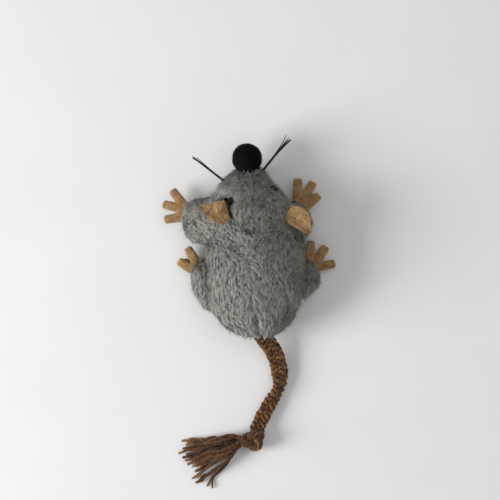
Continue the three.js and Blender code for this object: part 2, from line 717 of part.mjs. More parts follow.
function addTassel() {
  const knot = new THREE.Vector3(...knotAt);
  const reach = KNOT_DIAMETER / 2 + TASSEL_BUNDLE_LENGTH;
  const toward = (bearing, length, up) => new THREE.Vector3(
    knot.x + length * Math.cos(bearing * RADIANS),
    knot.y + length * Math.sin(bearing * RADIANS),
    up,
  );
  const floor = TASSEL_CORD_DIAMETER / 2 + GAP;
  const parts = [strand(
    [knot.clone(), toward(TASSEL_BEARING, reach / 2, knot.z), toward(TASSEL_BEARING, reach, knot.z - TASSEL_BOW)],
    TASSEL_BUNDLE_DIAMETER,
    ROPE_SIDES,
    TASSEL_CORD_STEPS,
  )];
  for (const [bearing, lengthShare, layer] of TASSEL_CORD_SHARES) {
    const length = lengthShare * TASSEL_LENGTH;
    const up = floor + layer * TASSEL_CORD_DIAMETER;
    const [leaving, halfway] = TASSEL_FAN_SHARES.map((share) => TASSEL_BEARING + (bearing - TASSEL_BEARING) * share);
    parts.push(strand(
      [
        toward(TASSEL_BEARING, KNOT_DIAMETER / 2, knot.z),
        toward(leaving, reach, floor + (up - floor) / 2 + TASSEL_BOW),
        toward(halfway, (reach + length) / 2, up + TASSEL_BOW / 2),
        toward(bearing, length, floor),
      ],
      TASSEL_CORD_DIAMETER,
      TASSEL_CORD_SIDES,
      TASSEL_CORD_STEPS,
    ));
  }
  const above = slab(0, 2 * TORSO_HEIGHT);
  const cords = joined(parts.map(solid)).subtract(solid(knotForm(GAP)));
  piece('tassel', cords.intersect(above), brownCord);
}

addTorso();
addHead();
LIMBS.forEach(addLimb);
addTail();
addTassel();

export default toy;
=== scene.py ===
# The looks of a stuffed toy mouse: plush covers with their pile, suede ears and paws, a velvet nose,
# bead eyes, thread whiskers and a plaited rope tail with its knot and tassel.
# Forms are worked out in millimetres and made in metres.
import json
import math

import bpy
import numpy as np
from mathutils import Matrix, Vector


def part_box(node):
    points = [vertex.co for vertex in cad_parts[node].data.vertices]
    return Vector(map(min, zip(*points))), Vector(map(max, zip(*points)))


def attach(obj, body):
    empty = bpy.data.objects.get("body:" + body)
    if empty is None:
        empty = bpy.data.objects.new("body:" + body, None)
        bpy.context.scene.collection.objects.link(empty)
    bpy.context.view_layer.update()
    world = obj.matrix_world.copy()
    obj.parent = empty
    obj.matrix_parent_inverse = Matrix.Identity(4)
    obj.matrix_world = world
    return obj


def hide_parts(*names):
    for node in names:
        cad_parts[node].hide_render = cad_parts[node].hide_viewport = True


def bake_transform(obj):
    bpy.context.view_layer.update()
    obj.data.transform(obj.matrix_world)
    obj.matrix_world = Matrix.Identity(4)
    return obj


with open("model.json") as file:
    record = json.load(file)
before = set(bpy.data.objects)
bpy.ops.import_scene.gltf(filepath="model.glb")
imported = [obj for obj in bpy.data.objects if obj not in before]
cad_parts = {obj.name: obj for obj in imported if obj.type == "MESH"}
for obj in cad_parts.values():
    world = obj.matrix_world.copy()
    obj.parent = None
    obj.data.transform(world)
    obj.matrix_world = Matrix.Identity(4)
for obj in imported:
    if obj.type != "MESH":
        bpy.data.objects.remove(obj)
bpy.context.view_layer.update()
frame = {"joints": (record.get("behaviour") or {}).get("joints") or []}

MM = 0.001
UP = np.array([0.0, 0.0, 1.0])
JOINTS = {joint["name"]: joint for joint in frame["joints"]}


def in_scene(name, data):
    made = bpy.data.objects.new(name, data)
    bpy.context.scene.collection.objects.link(made)
    return made


# Camera
VIEW_MIDDLE = (-0.00266, 0.01332)
VIEW_WIDTH = 0.222
VIEW_HEIGHT = 0.012  # the level at which the view is that wide
CAMERA_DISTANCE = 1.2

camera_data = bpy.data.cameras.new("camera")
camera_data.lens = camera_data.sensor_width * CAMERA_DISTANCE / VIEW_WIDTH
camera = in_scene("camera", camera_data)
camera.location = (*VIEW_MIDDLE, VIEW_HEIGHT + CAMERA_DISTANCE)
bpy.context.scene.camera = camera


# Arrays and meshes
def unit(vectors):
    return vectors / np.maximum(np.linalg.norm(vectors, axis=-1, keepdims=True), 1e-12)


def smoothstep(low, high, value):
    share = np.clip((value - low) / (high - low), 0, 1)
    return share * share * (3 - 2 * share)


def dot(a, b):
    return np.sum(a * b, axis=-1)


def noise(points, size, seed):
    """Smooth noise from -1 to 1 with lumps of about that size."""
    cells = 32
    grid = np.random.default_rng(seed).uniform(-1, 1, (cells, cells, cells))
    place = points / size
    cell = np.floor(place).astype(int)
    share = place - cell
    share = share * share * (3 - 2 * share)
    total = np.zeros(len(points))
    for corner in np.ndindex(2, 2, 2):
        weight = np.prod(np.where(corner, share, 1 - share), axis=1)
        at = (cell + corner) % cells
        total += weight * grid[at[:, 0], at[:, 1], at[:, 2]]
    return total


def curve(rows, share):
    """Smooth values between the rows of a table, whose first column is the place."""
    table = np.array(rows, float)
    place, value = table[:, 0], table[:, 1:]
    slope = np.gradient(value, place, axis=0)
    i = np.clip(np.searchsorted(place, share, side="right") - 1, 0, len(place) - 2)
    wide = place[i + 1] - place[i]
    t = ((share - place[i]) / wide)[:, None]
    wide = wide[:, None]
    return (
        (2 * t**3 - 3 * t**2 + 1) * value[i]
        + (t**3 - 2 * t**2 + t) * wide * slope[i]
        + (3 * t**2 - 2 * t**3) * value[i + 1]
        + (t**3 - t**2) * wide * slope[i + 1]
    )


def distance(points, place):
    return np.linalg.norm(points - place, axis=1)


def places(x, y, z):
    """Rows of x, y and z from arrays or numbers."""
    return np.stack(np.broadcast_arrays(x, y, z), -1).reshape(-1, 3)


def turned(points, angle):
    """Points turned about the vertical."""
    c, s = np.cos(angle), np.sin(angle)
    x, y, z = np.atleast_2d(np.array(points, float)).T
    return np.stack([c * x - s * y, s * x + c * y, z], 1)


def grid_faces(rows, columns):
    """Faces of a grid, whose points run along one row after the other."""
    corner = (np.arange(rows)[:, None] * (columns + 1) + np.arange(columns)).ravel()
    return np.stack([corner, corner + columns + 1, corner + columns + 2, corner + 1], 1)


def ring_faces(rings, sides):
    """Faces between rings of that many points each."""
    ring = np.arange(rings - 1)[:, None] * sides
    k = np.arange(sides)[None, :]
    after = (k + 1) % sides
    return np.stack([ring + k, ring + after, ring + sides + after, ring + sides + k], -1).reshape(-1, 4)


def edges_of(faces):
    return np.stack([faces, np.roll(faces, -1, 1)], -1).reshape(-1, 2)


def closed_shell(upper, under, faces):
    """Two layers of points with the same faces, joined by walls round their open edges."""
    edges = edges_of(faces)
    _, index, number = np.unique(np.sort(edges, 1), axis=0, return_inverse=True, return_counts=True)
    rim = edges[number[index.ravel()] == 1]
    count = len(upper)
    walls = np.stack([rim[:, 1], rim[:, 0], rim[:, 0] + count, rim[:, 1] + count], 1)
    return np.concatenate([upper, under]), [np.concatenate([faces, faces[:, ::-1] + count, walls])]


def vertex_normals(points, faces):
    a, b, c, d = (points[faces[:, k]] for k in range(4))
    flat = np.cross(c - a, d - b)
    normals = np.zeros_like(points)
    for k in range(4):
        np.add.at(normals, faces[:, k], flat)
    return unit(normals)


def thickened(points, faces, thickness):
    """A shell of that thickness under an open surface."""
    return closed_shell(points, points - vertex_normals(points, faces) * thickness, faces)


def piece(name, points, faces, material, body=None, slot=None, replaces=(), values=None, normals=None,
          uv=None):
    """A mesh object from points in millimetres and arrays of three- or four-cornered faces."""
    mesh = bpy.data.meshes.new(name)
    mesh.vertices.add(len(points))
    mesh.vertices.foreach_set("co", (points * MM).astype(np.float32).ravel())
    corners = np.concatenate([face.ravel() for face in faces])
    counts = np.concatenate([np.full(len(face), face.shape[1]) for face in faces])
    mesh.loops.add(len(corners))
    mesh.loops.foreach_set("vertex_index", corners.astype(np.int32))
    mesh.polygons.add(len(counts))
    mesh.polygons.foreach_set("loop_start", (np.cumsum(counts) - counts).astype(np.int32))
    mesh.polygons.foreach_set("use_smooth", np.ones(len(counts), bool))
    mesh.update(calc_edges=True)
    for key, value in (values or {}).items():
        layer = mesh.attributes.new(key, "FLOAT", "POINT")
        layer.data.foreach_set("value", value.astype(np.float32))
    if uv is not None:
        layer = mesh.uv_layers.new(name="OFBake")
        layer.data.foreach_set("uv", uv[corners].astype(np.float32).ravel())
    if normals is not None:
        mesh.normals_split_custom_set_from_vertices(normals.tolist())
    mesh.materials.append(material)
    made = in_scene(name, mesh)
    if body:
        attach(made, body)
    if replaces:
        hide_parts(*replaces)
    return made


class Parts:
    """Gathers the points, faces and values of several forms for one mesh."""

    def __init__(self):
        self.points, self.faces, self.values, self.count = [], [], {}, 0

    def add(self, points, faces, **values):
        self.points.append(points)
        self.faces += [face + self.count for face in faces]
        for key, value in values.items():
            self.values.setdefault(key, []).append(np.broadcast_to(value, len(points)))
        self.count += len(points)

    def piece(self, name, material, **words):
        values = {key: np.concatenate(value) for key, value in self.values.items()}
        return piece(name, np.concatenate(self.points), self.faces, material, values=values, **words)


def ball(count):
    """A unit sphere of even four-cornered faces: points and faces."""
    steps = np.tan(np.linspace(-1, 1, count + 1) * math.pi / 4)
    a, b = np.meshgrid(steps, steps, indexing="ij")
    one = np.ones_like(a)
    sides = [(one, a, b), (-one, b, a), (b, one, a), (a, -one, b), (a, b, one), (b, a, -one)]
    points = unit(np.concatenate([np.stack(side, -1).reshape(-1, 3) for side in sides]))
    faces = np.concatenate([grid_faces(count, count) + k * (count + 1) ** 2 for k in range(6)])
    _, first, index = np.unique(np.round(points, 6), axis=0, return_index=True, return_inverse=True)
    return points[first], index.ravel()[faces]


def smoothed(points, faces):
    """Points moved halfway to the middle of their neighbours."""
    edges = edges_of(faces)
    edges = np.concatenate([edges, edges[:, ::-1]])
    number = np.bincount(edges[:, 0], minlength=len(points))[:, None]
    total = np.zeros_like(points)
    np.add.at(total, edges[:, 0], points[edges[:, 1]])
    return points + 0.5 * (total / number - points)


def surface(field, low, high, size):
    """The closed surface where field is 0, field being below 0 inside: points and four-cornered faces.
    One point stands in each cell of a grid that the surface crosses."""
    low, high = np.array(low, float), np.array(high, float)
    counts = np.ceil((high - low) / size).astype(int) + 1
    grid = np.stack(np.meshgrid(*[low[k] + size * np.arange(counts[k]) for k in range(3)], indexing="ij"), -1)
    value = field(grid.reshape(-1, 3)).reshape(counts)
    number = np.zeros(counts - 1)
    total = np.zeros((*(counts - 1), 3))
    crossings = []
    for order in ((0, 1, 2), (1, 2, 0), (2, 0, 1)):
        line = value.transpose(order)
        a, b = line[:-1], line[1:]
        i, j, k = np.nonzero(((a < 0) != (b < 0))[:, 1:-1, 1:-1])
        j, k = j + 1, k + 1
        share = a[i, j, k] / (a[i, j, k] - b[i, j, k])
        place = grid.transpose(*order, 3)[i, j, k]
        place[:, order[0]] += share * size
        for dj, dk in ((1, 1), (0, 1), (0, 0), (1, 0)):
            np.add.at(number.transpose(order), (i, j - dj, k - dk), 1)
            np.add.at(total.transpose(*order, 3), (i, j - dj, k - dk), place)
        crossings.append((order, i, j, k, a[i, j, k] < 0))
    used = number > 0
    index = np.cumsum(used).reshape(used.shape) - 1
    points = total[used] / number[used][:, None]
    faces = []
    for order, i, j, k, outward in crossings:
        at = index.transpose(order)
        face = np.stack([at[i, j - 1, k - 1], at[i, j, k - 1], at[i, j, k], at[i, j - 1, k]], 1)
        faces += [face[outward], face[~outward][:, ::-1]]
    faces = np.concatenate(faces)
    for _ in range(2):
        points = settled(field, smoothed(points, faces), size * 0.5)
    return points, faces


def settled(field, points, most):
    """Points moved onto the place where field is 0, by no more than that much."""
    small = 0.02
    value = field(points)
    slope = np.stack([field(points + small * axis) - value for axis in np.eye(3)], 1) / small
    step = -value[:, None] * slope / np.maximum(dot(slope, slope), 0.1)[:, None]
    length = np.linalg.norm(step, axis=1, keepdims=True)
    return points + step * np.minimum(1, most / np.maximum(length, 1e-9))


# Lines and tubes
def lengths(line):
    """The length of the line up to each of its points."""
    return np.concatenate([[0], np.cumsum(np.linalg.norm(np.diff(line, axis=0), axis=1))])


def smooth_line(points, step):
    """A curve through the points, resampled at about that step."""
    points = np.array(points, float)
    ends = np.concatenate([[2 * points[0] - points[1]], points, [2 * points[-1] - points[-2]]])
    t = np.linspace(0, 1, 24, endpoint=False)[:, None]
    spans = []
    for a, b, c, d in zip(ends[:-3], ends[1:-2], ends[2:-1], ends[3:]):
        square, cube = 2 * a - 5 * b + 4 * c - d, 3 * b - a - 3 * c + d
        spans.append(0.5 * (2 * b + (c - a) * t + square * t**2 + cube * t**3))
    dense = np.concatenate([*spans, points[-1:]])
    length = lengths(dense)
    at = np.linspace(0, length[-1], max(2, round(length[-1] / step)) + 1)
    return np.stack([np.interp(at, length, axis) for axis in dense.T], 1), at


def tube(line, radius, sides=8, lobes=0.0, pitch=1.0, phase=0.0):
    """A tube round the line: points, faces and the length up to each point. With lobes it is a yarn of two
    plies that turn round each other once in each pitch."""
    line = np.array(line, float)
    radius = np.broadcast_to(radius, len(line)).astype(float)
    ahead = unit(np.gradient(line, axis=0))
    side = np.cross(ahead[0], UP if abs(ahead[0, 2]) < 0.9 else np.array([1.0, 0, 0]))
    across = []
    for way in ahead:
        side = unit(side - way * side.dot(way))
        across.append(side)
    over = np.cross(across, ahead)
    length = lengths(line)
    angle = 2 * math.pi * np.arange(sides) / sides
    turn = angle[None, :] - (phase + 2 * math.pi * length / pitch)[:, None]
    wide = radius[:, None] * (1 - lobes + 2 * lobes * np.cos(turn) ** 2)
    points = (
        line[:, None]
        + np.array(across)[:, None] * (wide * np.cos(angle))[..., None]
        + over[:, None] * (wide * np.sin(angle))[..., None]
    ).reshape(-1, 3)
    ends = np.array([line[0] - ahead[0] * radius[0] / 2, line[-1] + ahead[-1] * radius[-1] / 2])
    count = len(points)
    k = np.arange(sides)
    after = (k + 1) % sides
    first, last = np.full(sides, count), count - sides
    caps = np.concatenate([np.stack([first, after, k], 1), np.stack([first + 1, last + k, last + after], 1)])
    along = np.concatenate([np.repeat(length, sides), [0, length[-1]]])
    return np.concatenate([points, ends]), [ring_faces(len(line), sides), caps], along


# Materials
class Look:
    """A material, its shader, and the nodes that its colour, roughness and bump are worked out with."""

    def __init__(self, name, **values):
        self.material = bpy.data.materials.new(name)
        self.material.use_nodes = True
        self.tree = self.material.node_tree
        self.shader = self.tree.nodes["Principled BSDF"]
        for key, value in values.items():
            self.put(self.shader, key.replace("_", " ").title().replace("Ior", "IOR"), value)

    def put(self, node, key, value):
        """Links another node's output to a socket, or sets the socket or a setting of the node."""
        if isinstance(value, bpy.types.NodeSocket):
            self.tree.links.new(value, node.inputs[key])
        elif isinstance(key, int) or key in node.inputs:
            node.inputs[key].default_value = value
        else:
            setattr(node, key, value)

    def node(self, kind, **values):
        made = self.tree.nodes.new(kind)
        for key, value in values.items():
            self.put(made, key, value)
        return made

    def noise(self, size, detail=2.0, roughness=0.5, stretch=None):
        """Noise in the object's own coordinates with lumps of about that size in millimetres."""
        where = self.node("ShaderNodeTexCoord").outputs["Object"]
        if stretch:
            where = self.node("ShaderNodeMapping", Vector=where, Scale=stretch).outputs["Vector"]
        made = self.node("ShaderNodeTexNoise", Vector=where, Scale=1 / (size * MM), Detail=detail,
                         Roughness=roughness)
        return made.outputs["Fac"]

    def attribute(self, name):
        return self.node("ShaderNodeAttribute", attribute_name=name).outputs["Fac"]

    def mixed(self, constant, *terms):
        """A constant and values that each count for a share, added up."""
        total = constant
        for value, share in terms:
            made = self.node("ShaderNodeMath", operation="MULTIPLY_ADD")
            for socket, part in enumerate((value, share, total)):
                self.put(made, socket, part)
            total = made.outputs["Value"]
        return total

    def colour(self, value, *stops, times=None):
        """The surface's colour by a value, from stops of place and colour, made darker or paler by times."""
        made = self.node("ShaderNodeValToRGB", Fac=value)
        elements = made.color_ramp.elements
        while len(elements) < len(stops):
            elements.new(0.5)
        for element, (place, colour) in zip(elements, stops):
            element.position = place
            element.color = (*colour, 1)
        found = made.outputs["Color"]
        if times:
            made = self.node("ShaderNodeVectorMath", operation="SCALE", Vector=found, Scale=times)
            found = made.outputs["Vector"]
        self.put(self.shader, "Base Color", found)

    def bump(self, height, distance, strength=1.0):
        made = self.node("ShaderNodeBump", Height=height, Strength=strength, Distance=distance * MM)
        self.put(self.shader, "Normal", made.outputs["Normal"])


def plush_material(name, dark, light):
    """Pile fibres: darker at the root, a painted shade among the fibres, lighter at the tip, with patches and
    a shade of each tuft's own.
    """
    look = Look(name, roughness=0.9, specular_ior_level=0.15, sheen_weight=0.2, sheen_roughness=0.5)
    terms = (look.noise(1.3, 3), 0.4), (look.noise(11), 0.3), (look.attribute("shade"), 0.75)
    mixed = look.mixed(-0.22, *terms)
    # The roots are painted darker than the tips: painted shade where the fibres crowd together.
    tip = look.mixed(0.55, (look.attribute("tip"), 0.5))
    look.colour(mixed, (0.1, dark), (0.9, light), times=tip)
    return look.material


def backing_material(name, colour):
    """The knitted ground that the pile stands on, painted nearly black as the shade among the pile's roots,
    in furrows and where no pile stands. Where an opened joint shows the inside, it is paler, about as pale as
    the pile.
    """
    look = Look(name, roughness=0.95, specular_ior_level=0.1, sheen_weight=0.1)
    fine = look.noise(0.9, 3, 0.6)
    paler = look.mixed(1.0, (look.attribute("inner"), 8.0))
    look.colour(fine, (0.3, darker(colour)), (0.7, colour), times=paler)
    look.bump(fine, 0.4)
    return look.material


def darker(colour):
    return tuple(0.6 * c for c in colour)


def suede_material(name, dark, middle, light):
    look = Look(name, roughness=0.92, specular_ior_level=0.15, sheen_weight=0.2, sheen_roughness=0.6)
    fibres = look.noise(0.7, 4, 0.65, (1, 2.4, 1))
    mixed = look.mixed(-0.16, (look.noise(3.2, 3, 0.6), 0.5), (fibres, 0.85))
    look.colour(mixed, (0.3, dark), (0.5, middle), (0.72, light))
    look.bump(mixed, 0.6)
    return look.material


def cord_material(name, dark, middle, light):
    """Twisted brown yarn: fibres, patches, a shade of its own for each yarn, and paler cut ends."""
    look = Look(name, roughness=0.85, specular_ior_level=0.25, sheen_weight=0.12, sheen_roughness=0.5)
    fine = look.noise(0.6, 4, 0.65)
    mixed = look.mixed(0.0, (fine, 0.55), (look.noise(3.5, 2), 0.25), (look.attribute("shade"), 0.35))
    look.colour(mixed, (0.25, dark), (0.55, middle), (0.85, light))
    look.bump(fine, 0.25, 0.9)
    return look.material


def dark_material(name, colour, roughness, grain, sheen=0.0, specular=0.5):
    """A dark surface with a slight grain in its colour and roughness."""
    look = Look(name, sheen_weight=sheen, sheen_roughness=0.5, specular_ior_level=specular)
    fine = look.noise(grain, 3)
    look.colour(fine, (0.3, darker(colour)), (0.7, colour))
    look.put(look.shader, "Roughness", look.mixed(roughness, (fine, 0.12)))
    look.bump(fine, grain * 0.1, 0.3)
    return look.material


def fibre_material(name, dark, light):
    look = Look(name, roughness=0.95, specular_ior_level=0.1, sheen_weight=0.2)
    fine = look.noise(1.2, 5, 0.7)
    look.colour(fine, (0.3, dark), (0.7, light))
    look.bump(fine, 0.5)
    return look.material


grey_pile = plush_material("grey_pile", (0.075, 0.073, 0.064), (0.450, 0.445, 0.400))
# The backing is painted nearly black: painted shade that shows between the blades, in furrows and where no
# pile stands.
shaded_backing = backing_material("shaded_backing", (0.016, 0.0155, 0.015))
tan_suede = suede_material("tan_suede", (0.16, 0.085, 0.032), (0.355, 0.21, 0.088), (0.56, 0.355, 0.16))
brown_yarn = cord_material("brown_yarn", (0.026, 0.011, 0.005), (0.135, 0.058, 0.02), (0.3, 0.165, 0.065))
black_velvet = dark_material("black_velvet", (0.0075, 0.0064, 0.0077), 0.85, 0.6, sheen=0.03, specular=0.1)
black_bead = dark_material("black_bead", (0.005, 0.005, 0.0065), 0.26, 2.0, specular=0.3)
black_thread = dark_material("black_thread", (0.006, 0.006, 0.007), 0.22, 0.5)
white_fibre = fibre_material("white_fibre", (0.62, 0.60, 0.56), (0.86, 0.85, 0.82))
herb_cloth = fibre_material("herb_cloth", (0.16, 0.19, 0.09), (0.30, 0.33, 0.18))


# Tail: a flat plait of yarns, a knot and a tassel
# The route of the CAD rope, from inside the rump to the knot's middle
ROUTE = [
    (0.0023, -0.0238, 0.0080), (0.0048, -0.0274, 0.0072), (0.0066, -0.0299, 0.0061),
    (0.0080, -0.0322, 0.0050), (0.0091, -0.0347, 0.0041), (0.0099, -0.0377, 0.0035),
    (0.0105, -0.0408, 0.0033), (0.0108, -0.0439, 0.0033), (0.0106, -0.0469, 0.0033),
    (0.0096, -0.0496, 0.0033), (0.0081, -0.0522, 0.0033), (0.0065, -0.0548, 0.0033),
    (0.0050, -0.0574, 0.0033), (0.0036, -0.0600, 0.0033), (0.0023, -0.0626, 0.0034),
    (0.0011, -0.0653, 0.0037), (-0.0016, -0.0711, 0.0049),
]
ROPE_STRANDS = 5
STRAND_YARNS = 4
YARN_RADIUS = 0.53
STRAND_RADIUS = 0.7  # from a strand's middle to its yarns' middles
PLAIT_PITCH = 11.5
STRAND_PITCH = 6.0
YARN_PITCH = 2.2
YARN_LOBES = 0.13
YARN_LEVEL = 0.06  # how low over the floor a yarn may lie
PLAIT_HALF_WIDTH, PLAIT_HALF_HEIGHT = 2.5, 0.78  # of the strands' middles
ROPE_TURNS = ((20, 29, 55), (29, 38, -45))  # from and to how far along it turns, and by how many degrees

rope_line, rope_at = smooth_line(np.array(ROUTE) / MM, 0.3)
rope_ahead = unit(np.gradient(rope_line, axis=0))
rope_side = unit(np.cross(rope_ahead, UP))
rope_over = np.cross(rope_side, rope_ahead)


def round_line(side, over, angle):
    """The way out from a line at that angle from side towards over."""
    return side * np.cos(angle)[:, None] + over * np.sin(angle)[:, None]


def noise_along(at, size, seed):
    return noise(places(at, 0, 0), size, seed)


def add_yarn(parts, line, radius, phase, shade, lobes=YARN_LOBES, pale_from=None):
    """Adds a yarn that lies over the floor. Its end may be paler, from that share of its length on."""
    points, faces, along = tube(line, radius, 8, lobes, YARN_PITCH, phase)
    points[:, 2] = np.maximum(points[:, 2], YARN_LEVEL)
    if pale_from:
        shade = shade + 0.5 * smoothstep(pale_from, 1, along / along.max())
    parts.add(points, faces, shade=shade)


def build_rope():
    """Strands that cross each other from edge to edge, over and under. Halfway the flat plait turns over,
    and it grows narrow in the knot."""
    parts = Parts()
    rng = np.random.default_rng(11)
    turn = sum(math.radians(by) * smoothstep(start, end, rope_at) for start, end, by in ROPE_TURNS)
    half_width = PLAIT_HALF_WIDTH * (1.12 - 0.24 * smoothstep(19, 26, rope_at))
    half_width = half_width + 0.25 * noise_along(rope_at, 3.0, 5)
    tuck = 1 - 0.6 * smoothstep(rope_at[-1] - 5, rope_at[-1] - 1, rope_at)
    side = round_line(rope_side, rope_over, turn)
    over = round_line(rope_over, -rope_side, turn)
    for strand in range(ROPE_STRANDS):
        angle = 2 * math.pi * (rope_at / PLAIT_PITCH + strand / ROPE_STRANDS)
        wide = half_width * tuck * np.sin(angle)
        high = PLAIT_HALF_HEIGHT * np.sin((ROPE_STRANDS - 1) * angle)
        middle = rope_line + side * wide[:, None] + over * high[:, None]
        for yarn in range(STRAND_YARNS):
            spin = 2 * math.pi * (rope_at / STRAND_PITCH + yarn / STRAND_YARNS)
            line = middle + STRAND_RADIUS * round_line(side, over, spin)
            add_yarn(parts, line, YARN_RADIUS, yarn + strand, rng.uniform(0, 1))
    return parts.piece("tail_rope_plait", brown_yarn, body="tail", slot="brown_cord",
                       replaces=("tail_rope", "tail_anchor"))


KNOT_MIDDLE = np.array(ROUTE[-1]) / MM + (0.3, -0.5, 0)
KNOT_SCALE = [1.42, 1.12, 1.05]
KNOT_TURN = math.radians(25)
KNOT_YARNS = 8
KNOT_YARN_RADIUS = 0.66
BUNDLE_RADIUS = 1.35  # from the rope's middle in the knot to the middles of its outer yarns


def build_knot():
    """An overhand knot of the rope: a bundle of yarns along a trefoil, pulled tight."""
    parts = Parts()
    rng = np.random.default_rng(12)
    t = np.linspace(0, 2 * math.pi, 150)
    line = places(np.sin(t) + 2 * np.sin(2 * t), np.cos(t) - 2 * np.cos(2 * t), -1.35 * np.sin(3 * t))
    line = turned(line * KNOT_SCALE, KNOT_TURN)
    ahead = unit(np.roll(line, -1, 0) - np.roll(line, 1, 0))
    side = unit(np.cross(ahead, UP + 0.1 * line))
    over = np.cross(side, ahead)
    for yarn in range(KNOT_YARNS):
        spin = 2 * t + 2 * math.pi * yarn / (KNOT_YARNS - 1)
        out = 0.0 if yarn == KNOT_YARNS - 1 else BUNDLE_RADIUS
        bundle = KNOT_MIDDLE + line + out * round_line(side, over, spin)
        add_yarn(parts, bundle, KNOT_YARN_RADIUS, yarn, rng.uniform(-0.2, 0.8))
    return parts.piece("tail_end_knot", brown_yarn, body="tail", slot="brown_cord",
                       replaces=("tail_knot",))


# Where each cord of the tassel ends. Two of them are split, and have a second end
TASSEL_TIPS = [
    (-33.1, -72.2), (-32.8, -75.3), (-34.6, -77.4), (-32.8, -79.7), (-30.5, -82.8), (-28.3, -83.9),
    (-28.5, -89.4), (-26.9, -91.2), (-21.9, -92.8), (-29.6, -73.6), (-31.2, -78.4), (-27.2, -86.2),
    (-30.0, -81.0), (-31.4, -74.4), (-29.2, -76.6), (-31.6, -80.9), (-25.4, -84.6), (-29.8, -71.6),
    (-27.8, -79.0), (-31.9, -76.4), (-31.0, -79.3), (-29.0, -75.0), (-30.4, -77.6), (-27.0, -83.0),
    (-26.0, -87.0), (-28.6, -81.6), (-30.8, -73.2), (-24.6, -90.4),
]
TASSEL_SPLITS = {6: (-26.2, -88.4), 8: (-19.6, -93.1)}
NECK_AT = np.array([-9.0, -73.0])
NECK_AHEAD = unit(np.array([-1.0, -0.16]))
NECK_ACROSS = np.array([-NECK_AHEAD[1], NECK_AHEAD[0]])
TASSEL_STEP = 0.35
SPLIT_RADIUS, SPLIT_APART = 0.42, 0.55  # of the two halves of a split cord


def tassel_course(tip, share, angle, rng):
    """Where a cord of the tassel runs, from the knot to its tip. Its place across goes from -1 to 1."""

    def in_knot(ahead, aside, drop):
        return (*(KNOT_MIDDLE[:2] + NECK_AHEAD * ahead + NECK_ACROSS * aside), KNOT_MIDDLE[2] - drop)

    def past_knot(reach, aside, level):
        return (*(NECK_AT + (tip - NECK_AT) * reach + NECK_ACROSS * aside), level)

    neck_level = 3.7 + 1.5 * math.sin(angle) * math.sqrt(max(0.1, 1 - share**2))
    stray = [rng.uniform(-most, most) for most in (0.9, 1.2, 0.8)]
    layer = rng.uniform(0.7, 3.9)
    return [
        in_knot(2.4, 0.4 * share, 0.6),
        in_knot(4.2, share, 0.7),
        past_knot(0.0, 3.0 * share + 0.7 * math.cos(angle), neck_level),
        past_knot(0.2, 3.1 * share + stray[0], layer + 1.7),
        past_knot(0.45, 1.9 * share + stray[1], layer + 1.2),
        past_knot(0.78, stray[2], 0.8 * layer + 0.4),
        past_knot(1.0, 0.0, 0.35 * layer + 0.7),
    ]


def build_tassel():
    parts = Parts()
    rng = np.random.default_rng(13)
    tips = np.array(TASSEL_TIPS)
    bearing = (tips - NECK_AT) @ NECK_ACROSS / ((tips - NECK_AT) @ NECK_AHEAD)
    order = np.argsort(np.argsort(bearing))
    for i, tip in enumerate(tips):
        angle = rng.uniform(0, 2 * math.pi)
        points = tassel_course(tip, 2 * order[i] / (len(tips) - 1) - 1, angle, rng)
        shade = rng.uniform(-0.4, 0.6)
        if i in TASSEL_SPLITS:
            for k, end in enumerate((tip, TASSEL_SPLITS[i])):
                points[-1] = (*end, 0.6 + 0.3 * k)
                line, _ = smooth_line(points, TASSEL_STEP)
                line[:, :2] += NECK_ACROSS * (k - 0.5) * SPLIT_APART
                add_yarn(parts, line, SPLIT_RADIUS, k, shade, lobes=0.05, pale_from=0.8)
            continue
        line, at = smooth_line(points, TASSEL_STEP)
        free = smoothstep(6, 14, at)
        line[:, :2] += NECK_ACROSS * (0.45 * noise_along(at, 2.6, 30 + i) * free)[:, None]
        line[:, 2] += 0.3 * noise_along(at, 3.1, 60 + i) * free
        fuzz = 1 + 0.16 * noise_along(at, 0.9, 90 + i)
        radius = rng.uniform(0.6, 0.8) * fuzz * (1 - 0.25 * smoothstep(0.93, 1, at / at[-1]))
        add_yarn(parts, line, radius, angle, shade, pale_from=0.85)
    return parts.piece("tassel_cords", brown_yarn, body="tail_tassel", slot="brown_cord",
                       replaces=("tassel",))


rope = build_rope()
knot = build_knot()
tassel = build_tassel()


# Forms of the stuffed parts, as fields that are below 0 inside and about a distance in millimetres
TORSO_WIDTH, TORSO_HEIGHT, TORSO_REAR = 43.6, 31.0, 38.2
OUTLINE_POWER, SIDE_POWER = 2.75, 2.3
RUMP_DROP = 3.2
NECK = np.array(JOINTS["head_nod"]["pos_m"]) / MM
SEAM_HEIGHT = 5.2
HEAD_LENGTH, HEAD_WIDTH, HEAD_HEIGHT, HEAD_TURN = 39.0, 37.0, 25.0, math.radians(5.5)
HEAD_ROOT, NAPE_CAP, SNOUT_CAP = 12.0, 8.0, 5.0
